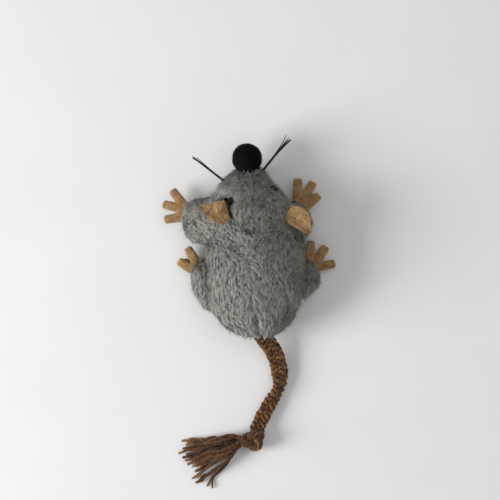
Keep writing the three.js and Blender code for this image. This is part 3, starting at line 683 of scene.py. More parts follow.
# Place along, half width, half height, and how far the middle lies up and to the right, as shares
HEAD_ROWS = [
    [0.0, 0.86, 0.84, -0.06, 0.0], [0.2, 0.98, 0.96, -0.07, 0.0], [0.4, 1.0, 1.0, -0.08, -0.02],
    [0.54, 0.96, 0.97, -0.11, -0.05], [0.62, 0.86, 0.91, -0.15, -0.065], [0.72, 0.69, 0.82, -0.2, -0.085],
    [0.83, 0.525, 0.7, -0.28, -0.05], [0.94, 0.385, 0.57, -0.34, 0.0], [1.0, 0.355, 0.52, -0.36, 0.01],
]
ARM_ROWS = [
    [0.0, 0.82, 0.86, 0.0, 0.0], [0.3, 1.0, 1.0, 0.0, 0.0], [0.55, 1.0, 0.97, -0.06, 0.02],
    [0.78, 0.8, 0.82, -0.18, 0.1], [1.0, 0.6, 0.62, -0.34, 0.14],
]
LEG_ROWS = [
    [0.0, 0.72, 0.9, 0.0, 0.0], [0.3, 0.95, 1.0, 0.0, 0.0], [0.5, 1.0, 0.99, -0.02, 0.0],
    [0.8, 0.85, 0.88, -0.08, 0.0], [1.0, 0.62, 0.74, -0.16, 0.0],
]
PILE_HEIGHT = 0.85  # how far the skin lies inside the pile's outside
TOUCH = 0.12  # half of what is left between two skins that touch
FLOOR_CLEARANCE = 0.35
NECK_SOFTNESS = 6.0  # how wide the hollow is where the head meets the torso
NECK_SEAM = 9.8  # how far ahead of the neck pivot the seam lies on top


def soft_least(a, b, soft):
    """The lesser of two values, rounded where they are closer than soft."""
    share = np.maximum(soft - np.abs(a - b), 0) / soft
    return np.minimum(a, b) - share * share * soft / 4


def furrow(points, line, width, depth):
    """A soft furrow under a line that is drawn from above, on the upper side only."""
    path, _ = smooth_line(line, 0.8)
    nearest = np.full(len(points), 1e9)
    for place in path:
        nearest = np.minimum(nearest, np.sum((points[:, :2] - place) ** 2, axis=1))
    return depth * np.exp(-nearest / width**2) * smoothstep(6, 11, points[:, 2])


# Furrows seen from above: line, width and depth. In the pocket lies the left eye
POCKET = [
    ([(-13.4, 36.2), (-12.2, 35.9), (-11.0, 35.4)], 2.1, 2.6),
    ([(-12.0, 34.6), (-11.6, 32.6), (-11.2, 30.2), (-10.8, 28.2)], 1.7, 2.6),
]
FURROWS = [
    *POCKET,
    ([(-23.0, 19.5), (-17.0, 17.2), (-11.0, 16.4), (-5.0, 17.0)], 1.9, 0.75),
    ([(-6.4, 24.4), (-5.2, 22.7), (-2.7, 22.0), (-0.4, 22.6), (0.8, 24.2)], 0.9, 1.6),
    ([(8.0, 27.5), (10.0, 23.5), (14.5, 20.5)], 1.6, 0.5),
    ([(-28.4, 35.6), (-28.0, 31.0), (-29.0, 26.8)], 1.3, 1.2),
    ([(1.0, -16.5), (1.2, -20.0), (1.7, -23.0), (2.2, -25.5)], 1.2, 1.0),
    ([(2.6, -22.6), (2.9, -26.5)], 2.4, 1.9),
    ([(-21.0, 7.0), (-20.9, 2.0), (-20.8, -4.0), (-20.4, -9.0), (-19.4, -13.0)], 1.2, 1.2),
    ([(20.9, 4.5), (20.8, -2.0), (20.0, -8.0)], 1.2, 1.3),
]


CHEEK, CHEEK_WIDTH, CHEEK_FULLNESS = (-15.5, 43.0), 4.5, 1.1  # the left cheek is stuffed fuller
NOSE_DIP = 2.2
SEAM_DEPTH, SEAM_WIDTH = 0.6, 0.7


def details(points):
    """Lumps of the stuffing, furrows and the dip behind the nose, which all skins share."""
    value = 0.4 * noise(points, 8.5, 21) + 0.2 * noise(points, 4.4, 22)
    value = value - CHEEK_FULLNESS * np.exp(-((distance(points[:, :2], CHEEK) / CHEEK_WIDTH) ** 2))
    from_nose = distance(points[:, :2], NOSE_MIDDLE[:2]) - NOSE_RADIUS
    value = value + NOSE_DIP * smoothstep(2.2, -1.5, from_nose) * smoothstep(11, 14, points[:, 2])
    for line, width, depth in FURROWS:
        value = value + furrow(points, line, width, depth)
    return value


def torso_form(points):
    half_width, radius, reach = np.array([TORSO_WIDTH / 2, TORSO_HEIGHT / 2, TORSO_REAR]) - PILE_HEIGHT
    x, y, z = (points - NECK).T
    front = (np.sqrt((x / half_width) ** 2 + (y**2 + z**2) / radius**2) - 1) * radius
    back = np.clip(-y / reach, 0, 0.9995)
    wide = (1 - back**OUTLINE_POWER) ** (1 / OUTLINE_POWER)
    tall = (1 - back**SIDE_POWER) ** (1 / SIDE_POWER)
    round_ = np.sqrt((x / (half_width * wide)) ** 2 + ((z + RUMP_DROP * back**2) / (radius * tall)) ** 2)
    rear = (round_ - 1) * radius * tall
    past = -y - reach
    rear = np.where(past > 0, np.maximum(past, rear), rear)
    return np.where(y > 0, front, rear)


def stuffed_form(points, rows, size, start, end, cap_start, cap_end, side=1, grow=-PILE_HEIGHT):
    """A form along +Y of its own frame, as the CAD makes it."""
    length, width, height = size
    x, y, z = points.T
    wide, tall, lift, shift = curve(rows, np.clip(y / length, 0, 1)).T
    half_width = wide * width / 2 + grow
    half_height = tall * height / 2 + grow
    start, end = start - grow, end + grow
    into = np.maximum((y - (end - cap_end)) / cap_end, (start + cap_start - y) / cap_start)
    shrink = np.sqrt(np.clip(1 - np.clip(into, 0, 1) ** 2, 0.01, 1))
    across = (x - side * shift * width / 2) / (half_width * shrink)
    upward = (z - lift * height / 2) / (half_height * shrink)
    value = (np.sqrt(across**2 + upward**2) - 1) * np.minimum(half_width, half_height) * shrink
    past = (into - 1) * np.where(y > length / 2, cap_end, cap_start)
    return np.where(into > 0.995, np.maximum(value, past), value)


def in_head(points):
    return turned(points - NECK, -HEAD_TURN)


def from_head(points):
    return turned(points, HEAD_TURN) + NECK


def head_form(points, grow=-PILE_HEIGHT):
    """The head, which here runs on inside the torso, so that the two join smoothly."""
    size = (HEAD_LENGTH, HEAD_WIDTH, HEAD_HEIGHT)
    return stuffed_form(in_head(points), HEAD_ROWS, size, -HEAD_ROOT, HEAD_LENGTH, NAPE_CAP, SNOUT_CAP,
                        grow=grow)


class Limb:
    """An arm or leg: its form and where it joins the body."""

    def __init__(self, name, rows, bearing, size, reach, cap, side, hollows):
        self.name, self.rows, self.size, self.reach, self.cap = name, rows, size, reach, cap
        self.side, self.hollows = side, hollows
        joint = JOINTS[name + "_swing"]
        self.body = joint["child"]
        self.pivot = np.array(joint["pos_m"]) / MM
        self.angle = math.radians(bearing - 90)

    def out(self, points):
        return turned(points, self.angle) + self.pivot

    def hollow(self, points):
        """How wide the hollow round the root is: it differs in front of the limb and behind it."""
        front, rear = self.hollows
        middle = self.out([0, 0.4 * self.size[0], 0])[0, 1]
        return front + (rear - front) * smoothstep(2, -7, points[:, 1] - middle)

    def form(self, points):
        own = turned(points - self.pivot, -self.angle)
        back, end = 0.3 * self.size[0], self.reach * self.size[0]
        return stuffed_form(own, self.rows, self.size, -back, end, back, self.cap, self.side)


# Name, rows, bearing, then length, width and height, the share of the length that the pile shows, the round
# end, the side that is forward, and the root's hollows in front and behind
LIMBS = [
    Limb("arm_left", ARM_ROWS, 165, (17.4, 19.8, 15.4), 0.94, 4.6, 1, (6.0, 6.0)),
    Limb("arm_right", ARM_ROWS, 72, (15.66, 16.24, 14.17), 1.0, 4.23, -1, (3.0, 3.0)),
    Limb("leg_left", LEG_ROWS, 101, (18.0, 17.0, 13.4), 1.0, 5.4, 1, (1.2, 7.0)),
    Limb("leg_right", LEG_ROWS, 74, (11.88, 17.0, 13.0), 1.18, 5.24, -1, (1.2, 4.0)),
]


def past_neck(points):
    """Over 0 for what belongs to the head rather than to the torso."""
    return np.minimum(torso_form(points), in_head(points)[:, 1] - NECK_SEAM)


def trunk_form(points):
    return soft_least(torso_form(points), head_form(points), NECK_SOFTNESS)


def past_root(limb, points):
    """Over 0 for what belongs to the limb rather than to the torso or head."""
    return np.minimum(trunk_form(points), 0.55 * limb.hollow(points) - limb.form(points))


def whole_form(points):
    value = trunk_form(points)
    for limb in LIMBS:
        value = soft_least(value, limb.form(points), limb.hollow(points))
    return np.maximum(value + details(points), FLOOR_CLEARANCE - points[:, 2])


def off_limbs(points, value):
    for limb in LIMBS:
        value = np.maximum(value, past_root(limb, points) + TOUCH)
    return value


def torso_skin(points):
    value = off_limbs(points, np.maximum(whole_form(points), past_neck(points) + TOUCH))
    seam = SEAM_DEPTH * np.exp(-(((points[:, 2] - SEAM_HEIGHT) / SEAM_WIDTH) ** 2))
    return value + np.where(value < 1, seam, 0)


def head_skin(points):
    return off_limbs(points, np.maximum(whole_form(points), TOUCH - past_neck(points)))


def limb_skin(limb, points):
    return np.maximum(whole_form(points), TOUCH - past_root(limb, points))


# Pile
TUFT_WIDTH = 0.5
TUFT_LONG = 3.2  # a tuft's length over its width
TUFT_PULL = 0.6  # how far a blade leans to its tuft's middle
BLADE_LEVEL = 0.05  # how low over the floor a blade may lie
NEAT_SHARE = 0.93  # of the blades; the others stand out of their tufts


def tufts(points, along):
    """For each point, the middle of the tuft that it belongs to and a number from 0 to 1 of the tuft's own.
    Tufts are longer along the pile's flow than across it."""
    cells = 64
    cell_size = TUFT_WIDTH * math.sqrt(TUFT_LONG)
    rng = np.random.default_rng(80)
    shift = rng.uniform(0, 1, (cells, cells, cells, 3))
    own = rng.uniform(0, 1, (cells, cells, cells))
    cell = np.floor(points / cell_size).astype(int)
    best = np.full(len(points), 1e9)
    middle = np.zeros_like(points)
    number = np.zeros(len(points))
    for step in np.ndindex(3, 3, 3):
        at = cell + np.array(step) - 1
        wrapped = tuple((at % cells).T)
        place = (at + shift[wrapped]) * cell_size
        away = place - points
        ahead = dot(away, along)
        far = dot(away, away) - ahead**2 * (1 - 1 / TUFT_LONG**2)
        nearer = far < best
        best[nearer] = far[nearer]
        middle[nearer] = place[nearer]
        number[nearer] = own[wrapped][nearer]
    return middle, number


def scattered(points, faces, count, rng):
    """Random places on the surface and the way outwards at each."""
    triangles = np.concatenate([faces[:, [0, 1, 2]], faces[:, [0, 2, 3]]])
    a, b, c = (points[triangles[:, k]] for k in range(3))
    area = np.linalg.norm(np.cross(b - a, c - a), axis=1)
    corner = triangles[rng.choice(len(triangles), count, p=area / area.sum())]
    u, v = rng.uniform(0, 1, (2, count))
    over = u + v > 1
    u[over], v[over] = 1 - u[over], 1 - v[over]
    weight = np.stack([1 - u - v, u, v], 1)[..., None]
    normals = vertex_normals(points, faces)
    return (points[corner] * weight).sum(1), unit((normals[corner] * weight).sum(1))


def blade_map(count):
    """A map for baking with a small cell of its own for each blade."""
    cells = math.ceil(math.sqrt(count))
    corner = np.stack([np.arange(count) % cells, np.arange(count) // cells], 1)[:, None]
    inside = np.array([[0.15, 0.1], [0.85, 0.1], [0.8, 0.55], [0.2, 0.55], [0.5, 0.9]])
    return ((corner + inside) / cells).reshape(-1, 2)


def painted_arm_light(points):
    """How much paler the left arm's pile is painted than the rest: painted light, for the light that falls on
    the arm from the left.
    """
    return 0.3 * smoothstep(-12, -20, points[:, 0]) * smoothstep(12, 20, points[:, 1])


def pile_blades(root, up, length, flow, rng, width=0.265, rise=0.66):
    """Tapered blades, brushed along the flow and drawn together in tufts: points, values and normals."""
    count = len(root)
    flow = unit(flow - up * dot(flow, up)[:, None])
    middle, own = tufts(root, flow)
    along = unit(flow + np.cross(up, flow) * rng.normal(0, 0.2, count)[:, None])
    pull = middle - root
    for way in (up, flow):
        pull = pull - way * dot(pull, way)[:, None]
    own = own[:, None]
    stray = rng.uniform(0, 1, (count, 1)) > NEAT_SHARE
    size = length * rng.uniform(0.7, 1.2, (count, 1)) * np.where(stray, 1.15, 1.0)
    lift = rise * (0.5 + 1.0 * own) * np.where(stray, 1.9, 1.0)
    low = root - 0.3 * up
    mid = root + size * 0.5 * (0.78 * along + lift * up) + 0.35 * TUFT_PULL * pull
    tip = mid + size * 0.5 * (0.97 * along + 0.3 * lift * up) + 0.65 * TUFT_PULL * pull
    side = unit(np.cross(up, tip - root) + 0.3 * up * rng.normal(0, 1, (count, 1)))
    half = width / 2 * rng.uniform(0.75, 1.2, (count, 1))
    corners = [low - side * half, low + side * half, mid + side * half * 0.85, mid - side * half * 0.85, tip]
    blade = np.stack(corners, 1).reshape(-1, 3)
    blade[:, 2] = np.maximum(blade[:, 2], BLADE_LEVEL)
    lean = unit(np.cross(side, tip - root))
    lean = np.where(dot(lean, up)[:, None] < 0, -lean, lean)
    shading = unit(0.6 * up + 0.6 * lean)
    # Stray blades are painted paler: painted highlights on the fibres that stand out of their tufts.
    # The left arm's pile is painted paler here, as painted light from the left.
    shade = 0.75 * own[:, 0] + rng.uniform(0, 0.3, count) + 0.3 * stray[:, 0] + painted_arm_light(root)
    # The tip value darkens each blade towards its root in the pile's material, as painted shade.
    values = {"shade": np.repeat(shade, 5), "tip": np.tile([0, 0, 0.6, 0.6, 1.0], count)}
    return blade, values, np.repeat(shading, 5, 0)


def pile_piece(name, blades, material, slot):
    points, values, normals = blades
    first = 5 * np.arange(len(points) // 5)[:, None]
    return piece(name, points, [first + [3, 2, 1, 0], first + [2, 3, 4]], material, slot=slot, values=values,
                 normals=normals, uv=blade_map(len(first)))


def part_of(points, faces, chosen):
    """The chosen faces with only the points that they use."""
    used, index = np.unique(faces[chosen], return_inverse=True)
    return points[used], index.reshape(-1, faces.shape[1])


def pile_flow(points):
    """Which way the pile lies: it parts at the nose, closes in behind the crown, runs down and to the right
    from the left shoulder, straight back over the torso, and closes in over the rump."""
    x, y, _ = points.T
    from_axis = x + 0.095 * (y - 13)
    aside = 0.045 * from_axis * smoothstep(27, 34, y)
    aside -= 0.05 * from_axis * smoothstep(16, 20, y) * smoothstep(29, 24, y)
    aside += 0.9 * smoothstep(5, -8, x) * smoothstep(2, 10, y) * smoothstep(27, 21, y)
    aside += 0.5 * smoothstep(-14, -18, x) * smoothstep(21, 26, y)
    aside -= 0.04 * (x - 2.3) * smoothstep(-5, -15, y)
    turn = 0.75 * noise(points, 5.0, 71) + 0.45 * noise(points, 2.2, 72)
    return turned(unit(places(aside, -1, 0)), turn)


def bare_places(points):
    """True where no pile stands: under the nose, round the eyes, in the pocket beside the left ear and where
    the tail leaves the rump."""
    bare = distance(points, NOSE_MIDDLE) < NOSE_RADIUS + 0.2
    for eye in EYES.values():
        bare |= distance(points, eye.place) < EYE_RADIUS + 0.5
    # The pocket stays bare so that the dark-painted backing shows there as the shade beside the ear.
    for line, width, depth in POCKET:
        bare |= furrow(points, line, width, depth) > 0.45 * depth
    for place in rope_line[rope_at < ROPE_ROOT][::4]:
        bare |= distance(points, place) < ROPE_ROOM
    return bare


WHOLE_BOX = ((-36, -28, -0.5), (32, 60, 32))
TORSO_BOX = ((-25, -28, -0.5), (25, 33, 32))
HEAD_BOX = ((-24, 17, -0.5), (24, 60, 31))
ROPE_ROOT, ROPE_ROOM = 11, 3.5  # how far along the rope and how far round it no pile stands
PILE_COUNT = 186000
PILE_LENGTH = 2.0
LOW_PILE, LOW_SHARE = 3, 0.6  # below that level only that share of the blades stands
SKIN_THICKNESS = 1.2
PILE_CELL, TORSO_CELL, HEAD_CELL, LIMB_CELL, WADDING_CELL = 0.7, 0.7, 0.6, 0.5, 1.5
WADDING_DEPTH = 1.9  # how far the filling's surface lies inside the cover's
ROPE_HOLLOW = 3.6  # how far the torso's filling stays from the rope's end


def torso_rides(made):
    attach(made, "torso")


def head_rides(made):
    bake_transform(made)


def limb_rides(limb):
    start = limb.out([0, 0, 0])[0] * MM
    end = limb.out([0, 0.6 * limb.size[0], 0])[0] * MM
    return lambda made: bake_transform(made)


def build_pile():
    """Pile over the whole form, shared out to the covers that it grows on."""
    points, faces = surface(whole_form, *WHOLE_BOX, PILE_CELL)
    rng = np.random.default_rng(81)
    root, up = scattered(points, faces, PILE_COUNT, rng)
    kept = ~bare_places(root) & ((root[:, 2] > LOW_PILE) | (rng.uniform(0, 1, PILE_COUNT) < LOW_SHARE))
    root, up = root[kept], up[kept]
    owner = np.where(past_neck(root) > 0, 1, 0)
    for k, limb in enumerate(LIMBS):
        owner[past_root(limb, root) > 0] = 2 + k
    low = (owner == 0) & (root[:, 2] < SEAM_HEIGHT)
    flow = pile_flow(root)
    groups = [("torso_back", (owner == 0) & ~low, torso_rides), ("torso_belly", low, torso_rides),
              ("head", owner == 1, head_rides)]
    groups += [(limb.name, owner == 2 + k, limb_rides(limb)) for k, limb in enumerate(LIMBS)]
    for name, chosen, rides in groups:
        blades = pile_blades(root[chosen], up[chosen], PILE_LENGTH, flow[chosen], rng)
        rides(pile_piece(name + "_pile", blades, grey_pile, "grey_plush"))


def cover(name, node_name, points, faces, fill, rides):
    """The ground of a plush cover, painted dark as the shade among the pile's roots, and paler inside the
    toy, where covers meet.
    """
    inner = smoothstep(0.3, 1.0, -whole_form(points))
    made = piece(name + "_skin", points, faces, shaded_backing, slot="grey_plush", replaces=(node_name,),
                 values={"inner": inner})
    rides(made)


def build_torso():
    points, faces = surface(torso_skin, *TORSO_BOX, TORSO_CELL)
    low = np.all(points[faces][:, :, 2] < SEAM_HEIGHT, axis=1)
    back = thickened(*part_of(points, faces, ~low), SKIN_THICKNESS)
    cover("torso_back", "torso_back_cover", *back, 0.75, torso_rides)
    belly = thickened(*part_of(points, faces, low), SKIN_THICKNESS)
    cover("torso_belly", "torso_belly_panel", *belly, 0.6, torso_rides)


def build_head():
    def field(points):
        value = np.maximum(head_skin(points), NOSE_RADIUS + BED - distance(points, NOSE_MIDDLE))
        for eye in EYES.values():
            value = np.maximum(value, EYE_RADIUS + BED - distance(points, eye.place))
        return value

    points, faces = surface(field, *HEAD_BOX, HEAD_CELL)
    cover("head", "head_cover", points, [faces], 0.75, head_rides)


def limb_box(limb):
    length, width, height = limb.size
    ends = [(x, y, 0) for x in (-0.6 * width, 0.6 * width) for y in (-0.4 * length, 1.15 * length)]
    corners = limb.out(ends)
    low, high = corners.min(axis=0) - 1, corners.max(axis=0) + 1
    low[2], high[2] = -0.5, limb.pivot[2] + height / 2 + 2.5
    return low, high


def build_limb(limb):
    points, faces = surface(lambda points: limb_skin(limb, points), *limb_box(limb), LIMB_CELL)
    cover(limb.name, limb.name + "_cover", points, [faces], 0.7, limb_rides(limb))


# Nose, eyes and whiskers
def head_ring(y):
    """Half width, half height, and how far the middle lies up and to the right, at y of the head's frame."""
    wide, tall, lift, shift = curve(HEAD_ROWS, np.array([y / HEAD_LENGTH]))[0] / 2
    return wide * HEAD_WIDTH, tall * HEAD_HEIGHT, lift * HEAD_HEIGHT, shift * HEAD_WIDTH


def head_place(x, y):
    """The place and outward way of the head's upper surface at x and y of its own frame."""
    half_width, half_height, lift, shift = head_ring(y)
    across = x - shift
    z = lift + half_height * math.sqrt(max(0.0, 1 - (across / half_width) ** 2))
    out = unit(np.array([across / half_width**2, 0, (z - lift) / half_height**2]))
    return from_head([x, y, z])[0], turned(out, HEAD_TURN)[0]


nose_low, nose_high = (np.array(corner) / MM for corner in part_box("nose"))
NOSE_MIDDLE = (nose_low + nose_high) / 2
NOSE_RADIUS = 6.6
NOSE_PILE_DEPTH = 0.25
NOSE_BLADES, NOSE_BLADE_LENGTH = 14000, 0.6
BED = 0.1  # how far the head's cover stays from the nose and the eyes
EYE_RADIUS = 1.7
EYE_DOME = 0.95 * EYE_RADIUS  # the height of a bead over its widest place


class Eye:
    """A bead that shows by that much over the head's form."""

    def __init__(self, x, y, shown):
        surface_place, self.out = head_place(x, y)
        self.place = surface_place + self.out * (shown - EYE_RADIUS)


EYES = {"eye_left": Eye(-9.6, 22.8, -1.1), "eye_right": Eye(10.73, 26.5, 0.6)}


def build_nose():
    ways, faces = ball(36)
    lumps = 0.1 * noise(ways * 6, 3.0, 91)
    points = NOSE_MIDDLE + ways * (NOSE_RADIUS - NOSE_PILE_DEPTH + lumps)[:, None]
    piece("nose_ball", points, [faces], black_velvet, body="head", slot="black_velvet", replaces=("nose",))
    rng = np.random.default_rng(92)
    root, up = scattered(points, faces, NOSE_BLADES, rng)
    kept = head_form(root, -1.6) > 0
    flow = np.tile([0.0, -1.0, 0.0], (kept.sum(), 1))
    blades = pile_blades(root[kept], up[kept], NOSE_BLADE_LENGTH, flow, rng, width=0.14, rise=0.9)
    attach(pile_piece("nose_pile", blades, black_velvet, "black_velvet"), "head")


def lathe(profile, sides):
    """A form turned about +Z from rows of radius and height."""
    radius, height = (column[:, None] for column in np.array(profile, float).T)
    angle = 2 * math.pi * np.arange(sides) / sides
    points = places(radius * np.cos(angle), radius * np.sin(angle), height)
    return points, ring_faces(len(profile), sides)


def build_eye(name):
    """A domed bead with a moulded rim and the shank that is sewn through the cover."""
    shank = [(0.02, -3.2), (0.55, -3.2), (0.62, -2.1), (0.65, -1.5), (1.25, -1.0), (1.62, -0.45)]
    dome = [(EYE_RADIUS * math.cos(a), EYE_DOME * math.sin(a)) for a in np.linspace(0, 1.5, 12)]
    points, faces = lathe([*shank, *dome, (0.02, EYE_DOME)], 40)
    eye = EYES[name]
    across = unit(np.cross(eye.out, [0.0, 1.0, 0.0]))
    over = np.cross(eye.out, across)
    points = points @ np.array([across, over, eye.out]) + eye.place
    piece(name + "_bead", points, [faces], black_bead, body="head", slot="bead_gloss", replaces=(name,))


# Each tuft of whiskers: side, how far inside the head's edge and how far along the head it leaves, bearing,
# length and how far its tips spread
WHISKERS = {"whiskers_left": (-1, 3.5, 30.2, 137, 20.6, 0.5), "whiskers_right": (1, 1.5, 34.9, 45, 19.0, 2.0)}
WHISKER_THREADS = 8
WHISKER_RADII = (0.27, 0.15)  # at the root and at the tip
WHISKER_LEVEL = 3.2  # how far over the head's middle they leave


def build_whiskers(name):
    side, inside, ahead, bearing, length, spread = WHISKERS[name]
    rng = np.random.default_rng(101 + side)
    half_width, _, lift, shift = head_ring(ahead)
    root = np.array([shift + side * (half_width - inside), ahead, lift + WHISKER_LEVEL])
    parts = Parts()
    bearing = math.radians(bearing)
    way = np.array([math.cos(bearing), math.sin(bearing), 0.12])
    across = np.array([-math.sin(bearing), math.cos(bearing), 0.0])
    for i in range(WHISKER_THREADS):
        angle = 2 * math.pi * i / WHISKER_THREADS
        reach = length * rng.uniform(0.88, 1.0)
        place = rng.uniform(-1, 1)
        share = np.linspace(0, 1, 9)[:, None]
        splay = 0.1 + spread * share**3
        spin = angle + 2.6 * share
        aside = splay * place * share + 0.3 * np.cos(spin)
        raised = splay * place * 0.3 + 0.3 * np.sin(spin) - 1.3 * share**2
        line, _ = smooth_line(root + way * reach * share + across * aside + UP * raised, 0.5)
        points, faces, _ = tube(line, np.linspace(*WHISKER_RADII, len(line)), 6)
        parts.add(from_head(points), faces)
    parts.piece(name + "_threads", black_thread, body="head", slot="whisker_thread", replaces=(name,))


# Ears and paws
# Rows of the place from root to tip as a share, then each edge's place across the fold and ahead of it
EARS = {
    "ear_left": ("left_ear", 4, [
        (0.0, -4.5, -2.6, 4.4, 1.6), (0.2, -5.8, 0.2, 3.9, 3.6), (0.4, -6.0, 3.4, 3.1, 5.8),
        (0.6, -5.0, 6.5, 2.4, 8.0), (0.8, -3.2, 9.3, 1.7, 10.2), (0.94, -0.9, 11.3, 1.1, 11.7),
        (1.0, 0.3, 12.1, 0.8, 12.3),
    ]),
    "ear_right": ("right_ear", 7, [
        (0.0, -5.2, -0.3, 0.8, -0.3), (0.23, -6.4, 3.1, 2.45, 3.1), (0.42, -6.8, 5.6, 2.3, 5.6),
        (0.59, -6.6, 7.8, 2.1, 7.8), (0.77, -4.8, 10.1, 1.8, 10.1), (0.91, -2.3, 12.0, 1.5, 12.0),
        (1.0, -0.3, 13.3, 1.1, 13.3),
    ]),
}
EAR_THICKNESS = 1.3


def build_ear(name):
    """A leaf of suede, cupped a little, crumpled, with square edges, that dips into the pile at its root."""
    body, pitch, rows = EARS[name]
    joint = JOINTS[name + "_fold"]
    at = np.array(joint["pos_m"]) / MM
    across = unit(np.array(joint["axis"]))
    tilt = math.radians(pitch)
    ahead = np.cross(UP, across) * math.cos(tilt) + UP * math.sin(tilt)
    over = np.cross(across, ahead)
    long, wide = 56, 44
    place = np.linspace(0, 1, long + 1)
    low_x, low_y, high_x, high_y = (column[:, None] for column in curve(rows, place).T)
    u = np.sin(np.linspace(-0.5, 0.5, wide + 1) * math.pi)[None, :]
    x = (low_x + high_x) / 2 + (high_x - low_x) / 2 * u
    y = (low_y + high_y) / 2 + (high_y - low_y) / 2 * u
    flat_places = places(x, y, 0)
    creases = places(x + 0.7 * y, 0.35 * (y - x), 0)
    crumple = 0.4 * noise(flat_places, 3.1, 111) + 0.42 * noise(creases, 1.1, 112)
    crumple = crumple + 0.2 * noise(flat_places, 0.8, 113)
    curl = 0.9 * u**2 * smoothstep(-1, 4, y) + 0.5 * smoothstep(0.5, 1.0, u) - 0.5 * smoothstep(8, 13, y)
    middle = curl + crumple.reshape(x.shape) - 0.4 * smoothstep(2.5, -2.0, y)
    end = np.sqrt(np.clip(1 - place[:, None] ** 14, 0.05, 1))
    edge = np.sqrt(np.clip(1 - np.abs(u) ** 12, 0, 1)) * end
    half_thick = EAR_THICKNESS / 2 * np.maximum(edge, 0.3)
    faces = grid_faces(long, wide)[:, [0, 3, 2, 1]]
    local, faces = closed_shell(places(x, y, middle + half_thick), places(x, y, middle - half_thick), faces)
    points = at + local @ np.array([across, ahead, over])
    piece(name + "_leaf", points, faces, tan_suede, body=body, slot="tan_suede", replaces=(name,))


# Of each paw: its limb, the level of its underside, the palm's middle, the end of the tab that is sewn into
# the limb, and where each finger begins and ends
PAWS = {
    "paw_front_left": (0, 4.6, (-32.2, 30.6), (-26.2, 28.1), [
        ((-31.1, 31.7), (-37.5, 40.2)), ((-32.9, 31.7), (-41.6, 33.8)), ((-32.4, 28.2), (-41.0, 26.8)),
    ]),
    "paw_front_right": (1, 3.94, (20.6, 33.4), (19.1, 27.5), [
        ((18.5, 33.5), (18.7, 45.3)), ((20.4, 34.4), (25.7, 43.8)), ((21.3, 32.0), (28.4, 38.0)),
    ]),
    "paw_rear_left": (2, 2.6, (-26.9, 5.5), (-24.0, -0.3), [
        ((-26.9, 8.0), (-30.7, 14.5)), ((-28.4, 4.4), (-34.8, 8.6)),
    ]),
    "paw_rear_right": (3, 2.55, (26.2, 7.3), (22.7, 1.8), [
        ((23.8, 8.0), (24.6, 17.5)), ((26.2, 7.1), (31.4, 15.0)), ((26.6, 5.6), (35.5, 7.3)),
    ]),
}
FOLDED_FINGER = ("paw_rear_left", (-33.0, 8.2))  # it lies under the others, so only two show on that paw
PALM_RADIUS, TAB_WIDTH, PAW_THICKNESS = 2.9, 7.4, 2.0
FINGER_WIDTHS = (4.4, 3.8)  # at the palm and at the tip
FINGER_CORNER = 1.15
PAW_ROUND = 1.3  # how wide the rounded border of a paw is
PAW_CELL = 0.3
PAW_REACH = 14  # from a paw's palm to past its finger tips


def strip(x, y, start, end, widths, corner):
    """Distance to a strip with rounded corners; its width goes from the first of the widths to the last."""
    length = math.dist(start, end)
    way = ((end[0] - start[0]) / length, (end[1] - start[1]) / length)
    along = (x - start[0]) * way[0] + (y - start[1]) * way[1]
    across = np.abs((x - start[0]) * way[1] - (y - start[1]) * way[0])
    half = (widths[0] + (widths[1] - widths[0]) * np.clip(along / length, 0, 1)) / 2
    past_side = across - half + corner
    past_end = np.abs(along - length / 2) - length / 2 + corner
    outside = np.hypot(np.maximum(past_side, 0), np.maximum(past_end, 0))
    return outside + np.minimum(np.maximum(past_side, past_end), 0) - corner


def pad(outline, lift):
    """A felt-like pad with rounded edges over the area where outline is below 0."""
    steps = np.arange(-PAW_REACH, PAW_REACH + PAW_CELL, PAW_CELL)
    x, y = np.meshgrid(steps, steps, indexing="ij")
    inside = (outline(x, y) < 0).ravel()
    faces = grid_faces(len(steps) - 1, len(steps) - 1)
    points, faces = part_of(places(x, y, 0), faces, inside[faces].any(1))
    x, y = points[:, 0], points[:, 1]
    small = 0.01
    for _ in range(4):
        value = outline(x, y)
        slope_x = (outline(x + small, y) - value) / small
        slope_y = (outline(x, y + small) - value) / small
        step = np.maximum(value, 0) / np.maximum(slope_x**2 + slope_y**2, 0.2)
        x, y = x - slope_x * step, y - slope_y * step
    deep = np.clip(-outline(x, y) / PAW_ROUND, 0, 1)
    half = PAW_THICKNESS / 2 * np.sqrt(np.clip(1 - (1 - deep) ** 2.2, 0.0, 1))
    half = np.maximum(half * (1 + 0.12 * noise(places(x, y, 0), 1.1, 121)), 0.12)
    middle = PAW_THICKNESS / 2 + lift(x, y) + 0.12 * noise(places(x, y, 0), 2.5, 122)
    return closed_shell(places(x, y, middle + half), places(x, y, middle - half), faces)


def build_paw(name):
    limb_at, level, palm, tab, fingers = PAWS[name]

    def outline(x, y):
        x, y = x + palm[0], y + palm[1]
        value = np.hypot(x - palm[0], y - palm[1]) - PALM_RADIUS
        value = soft_least(value, strip(x, y, palm, tab, (TAB_WIDTH, TAB_WIDTH), 3.0), 1.0)
        for start, end in fingers:
            value = soft_least(value, strip(x, y, start, end, FINGER_WIDTHS, FINGER_CORNER), 0.6)
        return value

    def folded_outline(x, y):
        return strip(x + palm[0], y + palm[1], palm, FOLDED_FINGER[1], FINGER_WIDTHS, FINGER_CORNER)

    def lift(x, y):
        return 0.5 * smoothstep(5, 11, np.hypot(x, y)) * np.cos(3 * np.arctan2(y, x))

    parts = Parts()
    parts.add(*pad(outline, lift))
    if name == FOLDED_FINGER[0]:
        parts.add(*pad(folded_outline, lambda x, y: -PAW_THICKNESS))
    parts.points = [group + [*palm, level] for group in parts.points]
    parts.piece(name + "_suede", tan_suede, body=LIMBS[limb_at].body, slot="tan_suede", replaces=(name,))


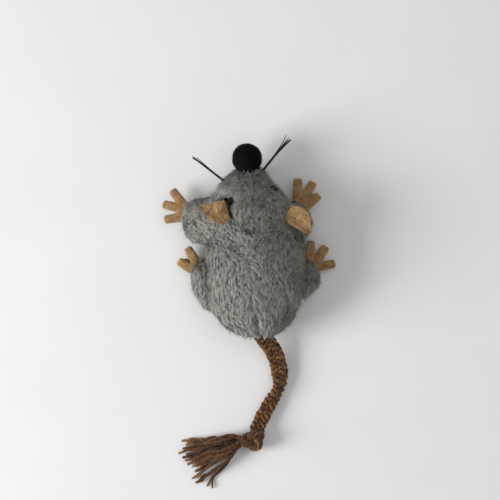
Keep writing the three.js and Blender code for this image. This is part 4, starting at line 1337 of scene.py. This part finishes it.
# Fillings and the pouch, inside the covers
def build_filling(name, field, box, body, seed):
    def inside(points):
        return field(points) + WADDING_DEPTH + 0.6 * noise(points, 3.5, seed)

    points, faces = surface(inside, *box, WADDING_CELL)
    piece(name + "_wadding", points, [faces], white_fibre, body=body, slot="fibre_filling",
          replaces=(name + "_filling",))


def head_inside(points):
    return np.maximum(head_skin(points), NECK_SEAM + 3 - in_head(points)[:, 1])


def torso_inside(points):
    """The torso without the room that the rope's end needs to swing."""
    return np.maximum(torso_skin(points), ROPE_HOLLOW - distance(points, rope_line[0]))


def build_pouch():
    low, high = (np.array(corner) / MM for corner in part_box("catnip_pouch"))
    ways, faces = ball(20)
    flat = np.sign(ways) * np.abs(ways) ** [0.8, 0.8, 1.3]
    points = (low + high) / 2 + flat * (high - low) / 2 * (1 + 0.04 * noise(ways * 8, 3.0, 131))[:, None]
    piece("catnip_pouch_cloth", points, [faces], herb_cloth, body="torso", slot="pouch_cloth",
          replaces=("catnip_pouch",))


build_torso()
build_head()
build_pile()
for limb in LIMBS:
    build_limb(limb)
    build_filling(limb.name, lambda points: limb_skin(limb, points), limb_box(limb), limb.body, 143)
build_filling("torso", torso_inside, TORSO_BOX, "torso", 141)
build_filling("head", head_inside, HEAD_BOX, "head", 142)
build_nose()
for eye_name in EYES:
    build_eye(eye_name)
for tuft_name in WHISKERS:
    build_whiskers(tuft_name)
for ear_name in EARS:
    build_ear(ear_name)
for paw_name in PAWS:
    build_paw(paw_name)
build_pouch()


# Floor and light
def build_floor():
    half_width, steps = 1600, 8
    line = np.linspace(-half_width, half_width, steps + 1)
    x, y = np.meshgrid(line, line, indexing="ij")
    look = Look("pale_floor", roughness=0.9, specular_ior_level=0.1)
    look.colour(look.noise(40), (0.3, (0.83, 0.83, 0.83)), (0.7, (0.85, 0.85, 0.85)))
    piece("floor", places(x, y, 0), [grid_faces(steps, steps)], look.material)


def area_light(name, place, size, power):
    data = bpy.data.lights.new(name, "AREA")
    data.size = size
    data.energy = power
    lamp = in_scene(name, data)
    lamp.location = place
    lamp.rotation_euler = Vector(place).to_track_quat("Z", "Y").to_euler()


build_floor()
area_light("key_light", (-0.88, -0.2, 0.46), 0.5, 10.8)
area_light("fill_light", (0.3, 0.2, 1.0), 0.9, 1.6)
world = bpy.data.worlds.new("studio")
world.use_nodes = True
sky = world.node_tree.nodes["Background"].inputs
sky["Color"].default_value = (1, 1, 1, 1)
sky["Strength"].default_value = 0.38
bpy.context.scene.world = world
bpy.context.scene.view_settings.view_transform = "Standard"
